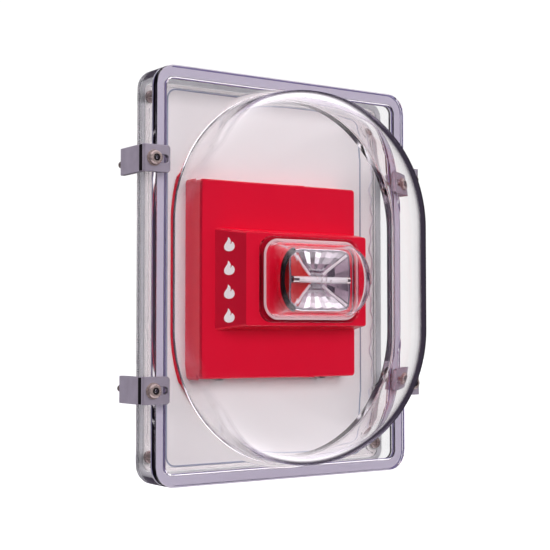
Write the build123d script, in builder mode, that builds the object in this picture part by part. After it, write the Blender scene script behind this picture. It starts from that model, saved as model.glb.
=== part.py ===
"""Wall horn strobe under a clear protective cover.

Frame: the wall is the plane y = 0, the front looks along -Y and +Z is up. The origin is on the
wall, at the middle of the cover. A depth is a distance in front of the wall, so a depth of d is
y = -d. Millimetres throughout.
"""

from build123d import *
import math
import os

os.makedirs("parts", exist_ok=True)


def front(depth):
    """Plane parallel to the wall at this depth: x is +X, y is +Z and it looks to the front."""
    return Plane.XZ.offset(depth)


def on_both_sides(x, z):
    """The four places (+-x, +-z) of a rectangular pattern."""
    return [(sx * x, sz * z) for sx in (-1, 1) for sz in (-1, 1)]


# ------------------------------------------------------------------ driving dimensions
# protective cover
cover_width, cover_height, corner_radius = 182.0, 240.0, 12.0
cover_front = 25.0  # depth of the cover plate's front face
plate_thickness = 3.0  # clear plate of the cover
rim_width = 7.0  # rim that the clamps hold
rim_back = 20.0  # depth of the rim's back face
dome_width, dome_height = 161.0, 222.0
dome_depth, dome_draft, dome_round, dome_wall = 60.0, 2.0, 43.0, 2.5
dome_root_fillet = 3.0

# frame ring behind the cover
wall_seal_thickness = 1.5
cover_seal_thickness = 1.0
frame_front = rim_back - cover_seal_thickness
frame_wall = 3.5
flange_thickness = 2.5
front_flange_width, back_flange_width = rim_width, 9.0
screw_tab_radius = 6.5
frame_screw_places = on_both_sides(81.5, 104.0)

# back plate
plate_gap = 0.5  # from the wall seal
seal_inset, seal_width = 1.0, 5.5
back_plate_thickness = 2.0
back_window_width, back_window_height = 62.0, 54.0
gang_box_spacing = 83.3  # of a single-gang electrical box

# hold-down clamps
clamp_height, clamp_thickness = 15.5, 3.0
clamp_offset = 10.0  # outer face of the riser from the cover's side
clamp_z = 65.0
clamp_screw_offset = 3.5  # screw axis from the cover's side
clamp_travel = 7.2
clamp_slot_radius = 2.3

# screws that go into the wall
shank_radius, thread_radius, thread_reach = 1.75, 2.1, 12.0
washer_radius, washer_thickness = 4.6, 0.6
pan_head_radius, pan_head_height = 4.0, 2.8

# horn strobe
unit_width, unit_height, unit_z = 114.3, 117.6, -1.3
unit_back = back_plate_thickness
unit_front = 15.5  # depth of the flat front face
shell = 2.0
block_front = 29.5  # depth of the raised strobe block's top
block_base_left, block_base_right = -46.9, 56.4
block_top_left, block_top_right = -34.3, 54.8
block_base_height, block_top_height = 60.0, 55.0

underside = unit_z - unit_height / 2
housing_screw_places = [(-38.0, -5.0), (38.0, -5.0)]  # x, y on the underside

# strobe
lens_x = 11.0
lens_width, lens_height = 67.0, 45.6  # the arched shell, without its flange
lens_depth, lens_wall, lens_end_round = 22.4, 2.0, 9.0
lens_flange, lens_flange_radius, lens_flange_thickness = 2.8, 8.5, 2.6
reflector_width, reflector_height, reflector_x = 44.0, 36.0, 14.0
reflector_front = 37.0
tube_depth, tube_radius, tube_length = 37.5, 2.0, 36.0
tube_ends = (reflector_x - tube_length / 2, reflector_x + tube_length / 2)
tube_cap_length, lead_radius = 2.2, 0.5
lead_xs = (tube_ends[0] - tube_cap_length / 2, tube_ends[1] + tube_cap_length / 2)

# electronics
board_back, board_thickness, board_size = 7.0, 1.6, 100.0
board_front = board_back + board_thickness
post_place, post_radius, post_hole = 44.0, 3.2, 1.25

# ------------------------------------------------------------------ frame ring
with BuildPart() as back_frame:
    with BuildSketch(front(wall_seal_thickness)):
        RectangleRounded(cover_width, cover_height, corner_radius)
    extrude(amount=frame_front - wall_seal_thickness)
    # channel between the two flanges, open inwards
    with BuildSketch(front(wall_seal_thickness + flange_thickness)):
        RectangleRounded(
            cover_width - 2 * frame_wall, cover_height - 2 * frame_wall, corner_radius - frame_wall
        )
    extrude(
        amount=frame_front - wall_seal_thickness - 2 * flange_thickness, mode=Mode.SUBTRACT
    )
    with BuildSketch(front(frame_front)):
        RectangleRounded(
            cover_width - 2 * front_flange_width,
            cover_height - 2 * front_flange_width,
            corner_radius - front_flange_width,
        )
    extrude(amount=-flange_thickness, mode=Mode.SUBTRACT)
    with BuildSketch(front(wall_seal_thickness)):
        RectangleRounded(
            cover_width - 2 * back_flange_width, cover_height - 2 * back_flange_width, 3.0
        )
        with Locations(*frame_screw_places):
            Circle(screw_tab_radius, mode=Mode.SUBTRACT)
    extrude(amount=flange_thickness, mode=Mode.SUBTRACT)
    with BuildSketch(front(wall_seal_thickness)):
        with Locations(*frame_screw_places):
            Circle(thread_radius + 0.2)
    extrude(amount=flange_thickness, mode=Mode.SUBTRACT)
    # back face relieved over the back plate's edge
    with BuildSketch(front(wall_seal_thickness)):
        RectangleRounded(
            cover_width - 2 * (seal_inset + seal_width) + 0.4,
            cover_height - 2 * (seal_inset + seal_width) + 0.4,
            corner_radius - seal_inset - seal_width,
        )
    extrude(amount=back_plate_thickness - wall_seal_thickness, mode=Mode.SUBTRACT)
back_frame.part.label = "back_frame"
export_step(back_frame.part, "parts/back_frame.step")

with BuildPart() as wall_seal:
    with BuildSketch(front(0)):
        RectangleRounded(
            cover_width - 2 * seal_inset, cover_height - 2 * seal_inset, corner_radius - seal_inset
        )
        RectangleRounded(
            cover_width - 2 * (seal_inset + seal_width),
            cover_height - 2 * (seal_inset + seal_width),
            corner_radius - seal_inset - seal_width,
            mode=Mode.SUBTRACT,
        )
    extrude(amount=wall_seal_thickness)
wall_seal.part.label = "wall_seal"
export_step(wall_seal.part, "parts/wall_seal.step")

with BuildPart() as cover_seal:
    with BuildSketch(front(frame_front)):
        RectangleRounded(
            cover_width - 2 * seal_inset, cover_height - 2 * seal_inset, corner_radius - seal_inset
        )
        RectangleRounded(
            cover_width - 2 * (rim_width - 0.8),
            cover_height - 2 * (rim_width - 0.8),
            corner_radius - rim_width + 0.8,
            mode=Mode.SUBTRACT,
        )
    extrude(amount=cover_seal_thickness)
cover_seal.part.label = "cover_seal"
export_step(cover_seal.part, "parts/cover_seal.step")

# ------------------------------------------------------------------ back plate and its screws
plate_inset = seal_inset + seal_width + plate_gap
with BuildPart() as back_plate:
    with BuildSketch(front(0)):
        RectangleRounded(
            cover_width - 2 * plate_inset, cover_height - 2 * plate_inset, corner_radius - plate_inset
        )
        with Locations((0, unit_z)):
            RectangleRounded(back_window_width, back_window_height, 4.0, mode=Mode.SUBTRACT)
        with Locations((0, unit_z - gang_box_spacing / 2), (0, unit_z + gang_box_spacing / 2)):
            Circle(thread_radius + 0.1, mode=Mode.SUBTRACT)
        with Locations(*frame_screw_places):
            Circle(thread_radius + 0.2, mode=Mode.SUBTRACT)
    extrude(amount=back_plate_thickness)
back_plate.part.label = "back_plate"
export_step(back_plate.part, "parts/back_plate.step")


recess_depth = 1.2


def cross_recess(at_depth, places, arm=3.6, width=0.9):
    """Outline of the cross recess of screws with their heads at this depth."""
    with BuildSketch(front(at_depth)) as cross:
        with Locations(*places):
            Rectangle(arm, width)
            Rectangle(width, arm)
    return cross.sketch


frame_screw_seat = wall_seal_thickness + flange_thickness
frame_screw_head = 2.2
with BuildPart() as frame_screws:
    with BuildSketch(front(frame_screw_seat)):
        with Locations(*frame_screw_places):
            Circle(3.6)
    extrude(amount=frame_screw_head)
    fillet(frame_screws.faces().sort_by(Axis.Y)[:4].edges(), 1.0)
    with BuildSketch(front(frame_screw_seat)):
        with Locations(*frame_screw_places):
            Circle(shank_radius)
    extrude(amount=-frame_screw_seat)
    with BuildSketch(front(0)):
        with Locations(*frame_screw_places):
            Circle(thread_radius)
    extrude(amount=-thread_reach)
    chamfer(frame_screws.faces().sort_by(Axis.Y)[-4:].edges(), 1.0)
    extrude(
        cross_recess(frame_screw_seat + frame_screw_head, frame_screw_places, 3.2, 0.8),
        amount=-recess_depth,
        mode=Mode.SUBTRACT,
    )
frame_screws.part.label = "frame_screws"
export_step(frame_screws.part, "parts/frame_screws.step")

# ------------------------------------------------------------------ protective cover
with BuildPart() as dome_core:
    with BuildSketch(front(rim_back)):
        SlotOverall(dome_height - 2 * dome_wall, dome_width - 2 * dome_wall, rotation=90)
    extrude(amount=cover_front - rim_back + dome_depth - dome_wall, taper=dome_draft)
    fillet(dome_core.faces().sort_by(Axis.Y)[0].edges(), dome_round - dome_wall)

with BuildPart() as front_cover:
    with BuildSketch(front(rim_back)):
        RectangleRounded(cover_width, cover_height, corner_radius)
    extrude(amount=cover_front - rim_back)
    fillet(front_cover.faces().sort_by(Axis.Y)[0].edges(), 1.2)
    with BuildSketch(front(rim_back)):
        RectangleRounded(
            cover_width - 2 * rim_width, cover_height - 2 * rim_width, corner_radius - rim_width
        )
    extrude(amount=cover_front - plate_thickness - rim_back, mode=Mode.SUBTRACT)
    with BuildSketch(front(cover_front)):
        SlotOverall(dome_height, dome_width, rotation=90)
    extrude(amount=dome_depth, taper=dome_draft)
    fillet(front_cover.faces().sort_by(Axis.Y)[0].edges(), dome_round)
    root_edges = front_cover.edges().filter_by(
        lambda e: abs(e.center().Y + cover_front) < 0.01
        and e.bounding_box().max.X < dome_width / 2 + 0.1
        and e.bounding_box().min.X > -dome_width / 2 - 0.1
        and e.bounding_box().max.Z < dome_height / 2 + 0.1
    )
    fillet(root_edges, dome_root_fillet)
    add(dome_core.part, mode=Mode.SUBTRACT)
front_cover.part.label = "front_cover"
export_step(front_cover.part, "parts/front_cover.step")

# ------------------------------------------------------------------ hold-down clamps
clamp_front = cover_front + clamp_thickness
clamp_names = {
    (-1, 1): "left_upper",
    (-1, -1): "left_lower",
    (1, 1): "right_upper",
    (1, -1): "right_lower",
}
side = cover_width / 2
for (sx, sz), place in clamp_names.items():
    middle_z = sz * clamp_z
    riser_middle = sx * (side + clamp_offset - clamp_thickness / 2)
    plate_middle = sx * (side + (clamp_offset - rim_width) / 2)
    slot_middle = sx * (side + clamp_screw_offset - clamp_travel / 2)
    with BuildPart() as clamp:
        with BuildSketch(front(0)):
            with Locations((riser_middle, middle_z)):
                Rectangle(clamp_thickness, clamp_height)
        extrude(amount=clamp_front)
        with BuildSketch(front(cover_front)):
            with Locations((plate_middle, middle_z)):
                Rectangle(clamp_offset + rim_width, clamp_height)
        extrude(amount=clamp_thickness)
        # the bend from riser to front plate is rounded outside
        outer_edge = (
            clamp.edges()
            .filter_by(Axis.Z)
            .sort_by_distance((sx * (side + clamp_offset), -clamp_front, middle_z))[0]
        )
        fillet(outer_edge, 1.6)
        with BuildSketch(front(cover_front)):
            with Locations((slot_middle, middle_z)):
                SlotCenterToCenter(clamp_travel, 2 * clamp_slot_radius)
        extrude(amount=clamp_thickness, mode=Mode.SUBTRACT)
        free_ends = clamp.edges().filter_by(Axis.Y).group_by(SortBy.LENGTH)[0]
        chamfer(
            free_ends.filter_by(lambda e: abs(abs(e.center().X) - (side - rim_width)) < 0.01), 1.2
        )
    clamp.part.label = f"clamp_{place}"
    export_step(clamp.part, f"parts/clamp_{place}.step")

clamp_screw_places = on_both_sides(side + clamp_screw_offset, clamp_z)
with BuildPart() as clamp_washers:
    with BuildSketch(front(clamp_front)):
        with Locations(*clamp_screw_places):
            Circle(washer_radius)
            Circle(thread_radius + 0.15, mode=Mode.SUBTRACT)
    extrude(amount=washer_thickness)
clamp_washers.part.label = "clamp_washers"
export_step(clamp_washers.part, "parts/clamp_washers.step")

clamp_screw_seat = clamp_front + washer_thickness
with BuildPart() as clamp_screws:
    with BuildSketch(front(clamp_screw_seat)):
        with Locations(*clamp_screw_places):
            Circle(pan_head_radius)
    extrude(amount=pan_head_height)
    fillet(clamp_screws.faces().sort_by(Axis.Y)[:4].edges(), 1.3)
    with BuildSketch(front(clamp_screw_seat)):
        with Locations(*clamp_screw_places):
            Circle(shank_radius)
    extrude(amount=-clamp_screw_seat)
    with BuildSketch(front(0)):
        with Locations(*clamp_screw_places):
            Circle(thread_radius)
    extrude(amount=-thread_reach)
    chamfer(clamp_screws.faces().sort_by(Axis.Y)[-4:].edges(), 1.0)
    extrude(
        cross_recess(clamp_screw_seat + pan_head_height, clamp_screw_places),
        amount=-recess_depth,
        mode=Mode.SUBTRACT,
    )
clamp_screws.part.label = "clamp_screws"
export_step(clamp_screws.part, "parts/clamp_screws.step")

# ------------------------------------------------------------------ housing of the horn strobe
reflector_opening_width, reflector_opening_height = reflector_width - 4.0, reflector_height - 4.0


def block_outline(depth, inset=0.0):
    """Outline of the raised block at a depth, between its base and its top, drawn smaller by inset."""
    share = (depth - unit_front) / (block_front - unit_front)
    left = block_base_left + share * (block_top_left - block_base_left) + inset
    right = block_base_right + share * (block_top_right - block_base_right) - inset
    height = block_base_height + share * (block_top_height - block_base_height) - 2 * inset
    with BuildSketch(front(depth)) as outline:
        with Locations(((left + right) / 2, unit_z)):
            RectangleRounded(right - left, height, 1.6)
    return outline.sketch


with BuildPart() as housing_core:
    with BuildSketch(front(unit_back)):
        with Locations((0, unit_z)):
            RectangleRounded(unit_width - 2 * shell, unit_height - 2 * shell, 1.5)
    extrude(amount=unit_front - shell - unit_back)
    loft(
        [block_outline(unit_front - shell, inset=shell), block_outline(block_front - shell, inset=shell)],
        ruled=True,
    )

with BuildPart() as housing:
    with BuildSketch(front(unit_back)):
        with Locations((0, unit_z)):
            RectangleRounded(unit_width, unit_height, 2.2)
    extrude(amount=unit_front - unit_back)
    fillet(housing.faces().sort_by(Axis.Y)[0].edges(), 1.4)
    loft([block_outline(unit_front), block_outline(block_front)], ruled=True)
    fillet(housing.faces().sort_by(Axis.Y)[0].edges(), 0.8)
    add(housing_core.part, mode=Mode.SUBTRACT)
    # opening under the reflector
    with BuildSketch(front(block_front - shell)):
        with Locations((reflector_x, unit_z)):
            RectangleRounded(reflector_opening_width, reflector_opening_height, 5.0)
    extrude(amount=shell, mode=Mode.SUBTRACT)
    # posts for the board
    with BuildSketch(front(board_front)):
        with Locations((0, unit_z)):
            with Locations(*on_both_sides(post_place, post_place)):
                Circle(post_radius)
    extrude(amount=unit_front - shell - board_front)
    with BuildSketch(front(board_front)):
        with Locations((0, unit_z)):
            with Locations(*on_both_sides(post_place, post_place)):
                Circle(post_hole)
    extrude(amount=4.0, mode=Mode.SUBTRACT)
    # sounder slots and screw holes in the underside
    with BuildSketch(Plane.XY.offset(underside)):
        with Locations((-22.0, -10.6)):
            with GridLocations(4.0, 1.0, 7, 1):
                SlotOverall(4.6, 1.8, rotation=90)
        with Locations(*housing_screw_places):
            Circle(1.7)
    extrude(amount=shell, mode=Mode.SUBTRACT)
housing.part.label = "housing"
export_step(housing.part, "parts/housing.step")

# flame pictograms down the ramp, from its middle line
ramp_run = block_top_left - block_base_left
ramp_rise = block_front - unit_front
ramp_length = math.hypot(ramp_run, ramp_rise)
ramp_plane = Plane(
    origin=(
        (block_top_left + block_base_left) / 2,
        -(unit_front + block_front) / 2,
        unit_z - 0.6,
    ),
    x_dir=(ramp_run, -ramp_rise, 0),
    z_dir=(-ramp_rise, -ramp_run, 0),
)
flame_spacing, flame_width, flame_height, flame_thickness = 13.9, 6.0, 8.4, 0.3
with BuildPart() as flame_marks:
    with BuildSketch(ramp_plane):
        for row in (-1.5, -0.5, 0.5, 1.5):
            with Locations((-0.8, row * flame_spacing)):
                with BuildSketch(mode=Mode.PRIVATE) as flame:
                    w, h = flame_width / 2, flame_height / 2
                    with BuildLine():
                        Bezier((0, -h), (1.3 * w, -h), (1.5 * w, 0), (0.6 * w, 0.35 * h))
                        Bezier((0.6 * w, 0.35 * h), (0.5 * w, 0.1 * h), (0.4 * w, 0), (0.25 * w, 0))
                        Bezier((0.25 * w, 0), (0.55 * w, 0.5 * h), (0.1 * w, 0.85 * h), (-0.2 * w, h))
                        Bezier((-0.2 * w, h), (-0.1 * w, 0.4 * h), (-w, 0.1 * h), (-w, -0.4 * h))
                        Bezier((-w, -0.4 * h), (-w, -0.8 * h), (-0.5 * w, -h), (0, -h))
                    make_face()
                add(flame.sketch)
    extrude(amount=flame_thickness)
flame_marks.part.label = "flame_marks"
export_step(flame_marks.part, "parts/flame_marks.step")

# ------------------------------------------------------------------ steel mounting bracket
bracket_size, bracket_thickness = 96.0, 1.4
tab_width = 12.0
tab_xs = [x for x, _ in housing_screw_places]
tab_hole_radius, housing_screw_radius, housing_head_radius = 1.3, 1.25, 2.6
with BuildPart() as mounting_bracket:
    with BuildSketch(front(unit_back)):
        with Locations((0, unit_z)):
            RectangleRounded(bracket_size, bracket_size, 4.0)
            RectangleRounded(back_window_width, back_window_height, 4.0, mode=Mode.SUBTRACT)
            with Locations((0, -gang_box_spacing / 2), (0, gang_box_spacing / 2)):
                Circle(thread_radius + 0.1, mode=Mode.SUBTRACT)
            with Locations((-gang_box_spacing / 2, 0), (gang_box_spacing / 2, 0)):
                SlotOverall(9.0, 4.4, rotation=90, mode=Mode.SUBTRACT)
    extrude(amount=bracket_thickness)
    # two tabs bent forward at the bottom take the housing screws
    with BuildSketch(front(unit_back)):
        with Locations(*[(x, underside + shell + 2.4) for x in tab_xs]):
            Rectangle(tab_width, 3.6)
    extrude(amount=bracket_thickness)
    with BuildSketch(front(unit_back)):
        with Locations(*[(x, unit_z - bracket_size / 2 - 2.0) for x in tab_xs]):
            Rectangle(tab_width, 12.0)
    extrude(amount=bracket_thickness)
    with BuildSketch(Plane.XY.offset(underside + shell + 0.6)):
        with Locations(*[(x, -unit_back - 2.3) for x in tab_xs]):
            Rectangle(tab_width, 4.6)
        with Locations(*housing_screw_places):
            Circle(tab_hole_radius, mode=Mode.SUBTRACT)
    extrude(amount=bracket_thickness)
mounting_bracket.part.label = "mounting_bracket"
export_step(mounting_bracket.part, "parts/mounting_bracket.step")

with BuildPart() as housing_screws:
    with BuildSketch(Plane.XY.offset(underside)):
        with Locations(*housing_screw_places):
            Circle(housing_screw_radius)
    extrude(amount=5.0)
    with BuildSketch(Plane.XY.offset(underside)):
        with Locations(*housing_screw_places):
            Circle(housing_head_radius)
            Rectangle(3.2, 0.7, mode=Mode.SUBTRACT)
    extrude(amount=-1.4)
housing_screws.part.label = "housing_screws"
export_step(housing_screws.part, "parts/housing_screws.step")

# ------------------------------------------------------------------ electronics
with BuildPart() as circuit_board:
    with BuildSketch(front(board_back)):
        with Locations((0, unit_z)):
            RectangleRounded(board_size, board_size, 3.0)
            with Locations(*on_both_sides(post_place, post_place)):
                Circle(1.5, mode=Mode.SUBTRACT)
            with Locations(*[(x, 0) for x in lead_xs]):
                Circle(lead_radius + 0.2, mode=Mode.SUBTRACT)
    extrude(amount=board_thickness)
circuit_board.part.label = "circuit_board"
export_step(circuit_board.part, "parts/circuit_board.step")

with BuildPart() as board_screws:
    with BuildSketch(front(board_back)):
        with Locations((0, unit_z)):
            with Locations(*on_both_sides(post_place, post_place)):
                Circle(2.8)
    extrude(amount=-1.8)
    with BuildSketch(front(board_back)):
        with Locations((0, unit_z)):
            with Locations(*on_both_sides(post_place, post_place)):
                Circle(post_hole - 0.05)
    extrude(amount=board_thickness + 3.6)
board_screws.part.label = "board_screws"
export_step(board_screws.part, "parts/board_screws.step")

# parts standing on the front of the board: (middle x, middle z above the unit's middle)
capacitor_radius, capacitor_length = 6.5, 33.0
capacitor_place = (-8.0, -12.0)
capacitor_axis = board_front + 1.0 + capacitor_radius
with BuildPart() as flash_capacitor:
    with BuildSketch(Plane.YZ.offset(capacitor_place[0] - capacitor_length / 2)):
        with Locations((-capacitor_axis, unit_z + capacitor_place[1])):
            Circle(capacitor_radius)
    extrude(amount=capacitor_length)
    fillet(flash_capacitor.faces().sort_by(Axis.X)[-1].edges(), 0.8)
    # rolled groove near the seal end, and the two leads down to the board
    with BuildSketch(Plane.YZ.offset(capacitor_place[0] - capacitor_length / 2 + 3.0)):
        with Locations((-capacitor_axis, unit_z + capacitor_place[1])):
            Circle(capacitor_radius)
            Circle(capacitor_radius - 0.6, mode=Mode.SUBTRACT)
    extrude(amount=1.2, mode=Mode.SUBTRACT)
    lead_x = capacitor_place[0] - capacitor_length / 2 - 1.5
    for lead_z in (-2.5, 2.5):
        with BuildSketch(front(board_front)):
            with Locations((lead_x, unit_z + capacitor_place[1] + lead_z)):
                Circle(0.4)
        extrude(amount=capacitor_axis - board_front + 0.4)
        with BuildSketch(Plane.YZ.offset(lead_x - 0.4)):
            with Locations((-capacitor_axis, unit_z + capacitor_place[1] + lead_z)):
                Circle(0.4)
        extrude(amount=2.2)
flash_capacitor.part.label = "flash_capacitor"
export_step(flash_capacitor.part, "parts/flash_capacitor.step")

# a bobbin: base, core and top as (height over the board, width, height, thickness)
transformer_place = (46.0, unit_z + 19.0)
transformer_layers = [(0.0, 9.0, 11.0, 2.0), (2.0, 6.0, 8.0, 7.0), (9.0, 9.0, 11.0, 1.6)]
with BuildPart() as trigger_transformer:
    for above, width, height, thickness in transformer_layers:
        with BuildSketch(front(board_front + above)):
            with Locations(transformer_place):
                Rectangle(width, height)
        extrude(amount=thickness)
trigger_transformer.part.label = "trigger_transformer"
export_step(trigger_transformer.part, "parts/trigger_transformer.step")

inductor_place = (22.0, 16.0)
with BuildPart() as charging_inductor:
    for base, radius, height in ((0.0, 7.0, 1.4), (1.4, 4.6, 6.0), (7.4, 7.0, 1.4)):
        with BuildSketch(front(board_front + base)):
            with Locations((inductor_place[0], unit_z + inductor_place[1])):
                Circle(radius)
        extrude(amount=height)
charging_inductor.part.label = "charging_inductor"
export_step(charging_inductor.part, "parts/charging_inductor.step")

with BuildPart() as inductor_winding:
    with BuildSketch(front(board_front + 1.6)):
        with Locations((inductor_place[0], unit_z + inductor_place[1])):
            Circle(6.4)
            Circle(4.7, mode=Mode.SUBTRACT)
    extrude(amount=5.6)
inductor_winding.part.label = "inductor_winding"
export_step(inductor_winding.part, "parts/inductor_winding.step")

# chips as (x, z above the unit's middle, width, height)
chips = [(-20.0, 38.0, 10.0, 7.0), (4.0, 40.0, 5.0, 6.2), (34.0, -38.0, 6.6, 9.6)]
with BuildPart() as control_chips:
    for chip_x, chip_z, chip_width, chip_height in chips:
        with BuildSketch(front(board_front)):
            with Locations((chip_x, unit_z + chip_z)):
                Rectangle(chip_width, chip_height)
        extrude(amount=1.6)
control_chips.part.label = "control_chips"
export_step(control_chips.part, "parts/control_chips.step")

# sounder: a ring chamber over the disc, open through the underside slots
sounder_place = (-22.0, unit_z - 36.0)
chamber_radius, chamber_wall = 16.0, 1.2
chamber_height = unit_front - shell - board_front - 0.2
with BuildPart() as sounder_chamber:
    with BuildSketch(front(board_front)):
        with Locations(sounder_place):
            Circle(chamber_radius)
    extrude(amount=chamber_height)
    with BuildSketch(front(board_front + 0.8)):
        with Locations(sounder_place):
            Circle(chamber_radius - chamber_wall)
    extrude(amount=chamber_height - 1.6, mode=Mode.SUBTRACT)
    # mouth of the chamber, towards the underside
    with BuildSketch(front(board_front + 2.4)):
        with Locations((sounder_place[0], sounder_place[1] - chamber_radius)):
            Rectangle(20.0, 8.0)
    extrude(amount=chamber_height - 4.0, mode=Mode.SUBTRACT)
sounder_chamber.part.label = "sounder_chamber"
export_step(sounder_chamber.part, "parts/sounder_chamber.step")

with BuildPart() as sounder_disc:
    with BuildSketch(front(board_front + 1.3)):
        with Locations(sounder_place):
            Circle(chamber_radius - chamber_wall - 0.1)
    extrude(amount=0.3)
    with BuildSketch(front(board_front + 1.6)):
        with Locations(sounder_place):
            Circle(9.0)
    extrude(amount=0.25)
sounder_disc.part.label = "sounder_disc"
export_step(sounder_disc.part, "parts/sounder_disc.step")

# terminal block behind the board: it stands in the window of the bracket and the back plate
terminal_pitch, terminal_count = 7.6, 6
terminal_z = unit_z + 14.0
terminal_back = -9.0
terminal_row = [
    ((i - (terminal_count - 1) / 2) * terminal_pitch, terminal_z) for i in range(terminal_count)
]
with BuildPart() as terminal_block:
    with BuildSketch(front(board_back)):
        with Locations((0, terminal_z)):
            Rectangle(terminal_count * terminal_pitch + 2.0, 14.0)
    extrude(amount=terminal_back - board_back)
    # screw wells, and wire holes from the top
    with BuildSketch(front(terminal_back)):
        with Locations(*terminal_row):
            Circle(2.6)
    extrude(amount=9.0, mode=Mode.SUBTRACT)
    with BuildSketch(Plane.XY.offset(terminal_z + 7.0)):
        with Locations(*[(x, -3.5) for x, _ in terminal_row]):
            Rectangle(4.4, 3.6)
    extrude(amount=-14.0, mode=Mode.SUBTRACT)
terminal_block.part.label = "terminal_block"
export_step(terminal_block.part, "parts/terminal_block.step")

with BuildPart() as terminal_screws:
    with BuildSketch(front(terminal_back + 2.0)):
        with Locations(*terminal_row):
            Circle(2.4)
            Rectangle(3.6, 0.7, mode=Mode.SUBTRACT)
    extrude(amount=1.6)
    with BuildSketch(front(terminal_back + 3.6)):
        with Locations(*terminal_row):
            Circle(1.4)
    extrude(amount=5.4)
terminal_screws.part.label = "terminal_screws"
export_step(terminal_screws.part, "parts/terminal_screws.step")

# slide selectors on the back of the board: candela setting and sound volume
selector_travel, selector_gap = 6.0, 0.15
knob_width, knob_height = 2.4, 2.0
selector_depth, knob_reach = 4.0, 2.0
for setting, selector_x in (("candela", -13.0), ("volume", 13.0)):
    selector_z = unit_z - 14.0
    with BuildPart() as selector:
        with BuildSketch(front(board_back)):
            with Locations((selector_x, selector_z)):
                Rectangle(selector_travel + knob_width + 3.0, 5.6)
        extrude(amount=-selector_depth)
        with BuildSketch(front(board_back - selector_depth)):
            with Locations((selector_x, selector_z)):
                Rectangle(
                    selector_travel + knob_width + 2 * selector_gap, knob_height + 2 * selector_gap
                )
        extrude(amount=selector_depth - 0.8, mode=Mode.SUBTRACT)
    selector.part.label = f"{setting}_selector"
    export_step(selector.part, f"parts/{setting}_selector.step")

    knob_x = selector_x - selector_travel / 2
    with BuildPart() as knob:
        with BuildSketch(front(board_back - 1.2)):
            with Locations((knob_x, selector_z)):
                Rectangle(knob_width, knob_height)
        extrude(amount=1.2 - selector_depth - knob_reach)
        chamfer(knob.faces().sort_by(Axis.Y)[-1].edges(), 0.3)
    knob.part.label = f"{setting}_knob"
    export_step(knob.part, f"parts/{setting}_knob.step")

# ------------------------------------------------------------------ strobe
lens_seal_thickness = 0.6
flange_width, flange_height = lens_width + 2 * lens_flange, lens_height + 2 * lens_flange
with BuildPart() as lens_seal:
    with BuildSketch(front(block_front)):
        with Locations((lens_x, unit_z)):
            RectangleRounded(flange_width - 1.0, flange_height - 1.0, lens_flange_radius - 0.5)
            RectangleRounded(
                lens_width - 1.0, lens_height - 1.0, lens_flange_radius - lens_flange, mode=Mode.SUBTRACT
            )
    extrude(amount=lens_seal_thickness)
lens_seal.part.label = "lens_seal"
export_step(lens_seal.part, "parts/lens_seal.step")

lens_base = block_front + lens_seal_thickness


def lens_arch(x, inset):
    """Half ellipse across the lens at this x, on the lens base, drawn smaller by inset."""
    with BuildSketch(Plane.YZ.offset(x)) as arch:
        with Locations((-lens_base, unit_z)):
            Ellipse(lens_depth - inset, lens_height / 2 - inset)
            with Locations((-lens_depth, 0)):
                Rectangle(2 * lens_depth, lens_height, mode=Mode.INTERSECT)
    return arch.sketch


with BuildPart() as lens_core:
    extrude(
        lens_arch(lens_x - lens_width / 2 + lens_wall, lens_wall), amount=lens_width - 2 * lens_wall
    )
    fillet(lens_core.edges().filter_by(GeomType.ELLIPSE), lens_end_round - lens_wall)

with BuildPart() as strobe_lens:
    extrude(lens_arch(lens_x - lens_width / 2, 0), amount=lens_width)
    fillet(strobe_lens.edges().filter_by(GeomType.ELLIPSE), lens_end_round)
    with BuildSketch(front(lens_base)):
        with Locations((lens_x, unit_z)):
            RectangleRounded(flange_width, flange_height, lens_flange_radius)
    extrude(amount=lens_flange_thickness)
    add(lens_core.part, mode=Mode.SUBTRACT)
strobe_lens.part.label = "strobe_lens"
export_step(strobe_lens.part, "parts/strobe_lens.step")

# reflector: a tub with four faces that fall to a slot along the flash tube
with BuildPart() as reflector:
    with BuildSketch(front(block_front)):
        with Locations((reflector_x, unit_z)):
            RectangleRounded(reflector_width, reflector_height, 6.0)
    extrude(amount=reflector_front - block_front)
    with BuildSketch(front(block_front + 1.4)) as slot_outline:
        with Locations((reflector_x, unit_z)):
            Rectangle(reflector_width - 20.0, 4.0)
    with BuildSketch(front(reflector_front)) as mouth_outline:
        with Locations((reflector_x, unit_z)):
            Rectangle(reflector_width - 4.0, reflector_height - 4.0)
    loft([slot_outline.sketch, mouth_outline.sketch], ruled=True, mode=Mode.SUBTRACT)
    # notches for the ends of the flash tube
    with BuildSketch(Plane.YZ.offset(reflector_x - reflector_width / 2)):
        with Locations((-reflector_front, unit_z)):
            Rectangle(6.4, 5.4)
    extrude(amount=reflector_width, mode=Mode.SUBTRACT)
    # holes for the leads of the tube
    with BuildSketch(front(block_front)):
        with Locations(*[(x, unit_z) for x in lead_xs]):
            Circle(lead_radius + 0.3)
    extrude(amount=reflector_front - block_front, mode=Mode.SUBTRACT)
reflector.part.label = "reflector"
export_step(reflector.part, "parts/reflector.step")

with BuildPart() as flash_tube:
    with BuildSketch(Plane.YZ.offset(reflector_x - tube_length / 2)):
        with Locations((-tube_depth, unit_z)):
            Circle(tube_radius)
            Circle(tube_radius - 0.6, mode=Mode.SUBTRACT)
    extrude(amount=tube_length)
flash_tube.part.label = "flash_tube"
export_step(flash_tube.part, "parts/flash_tube.step")

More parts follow.
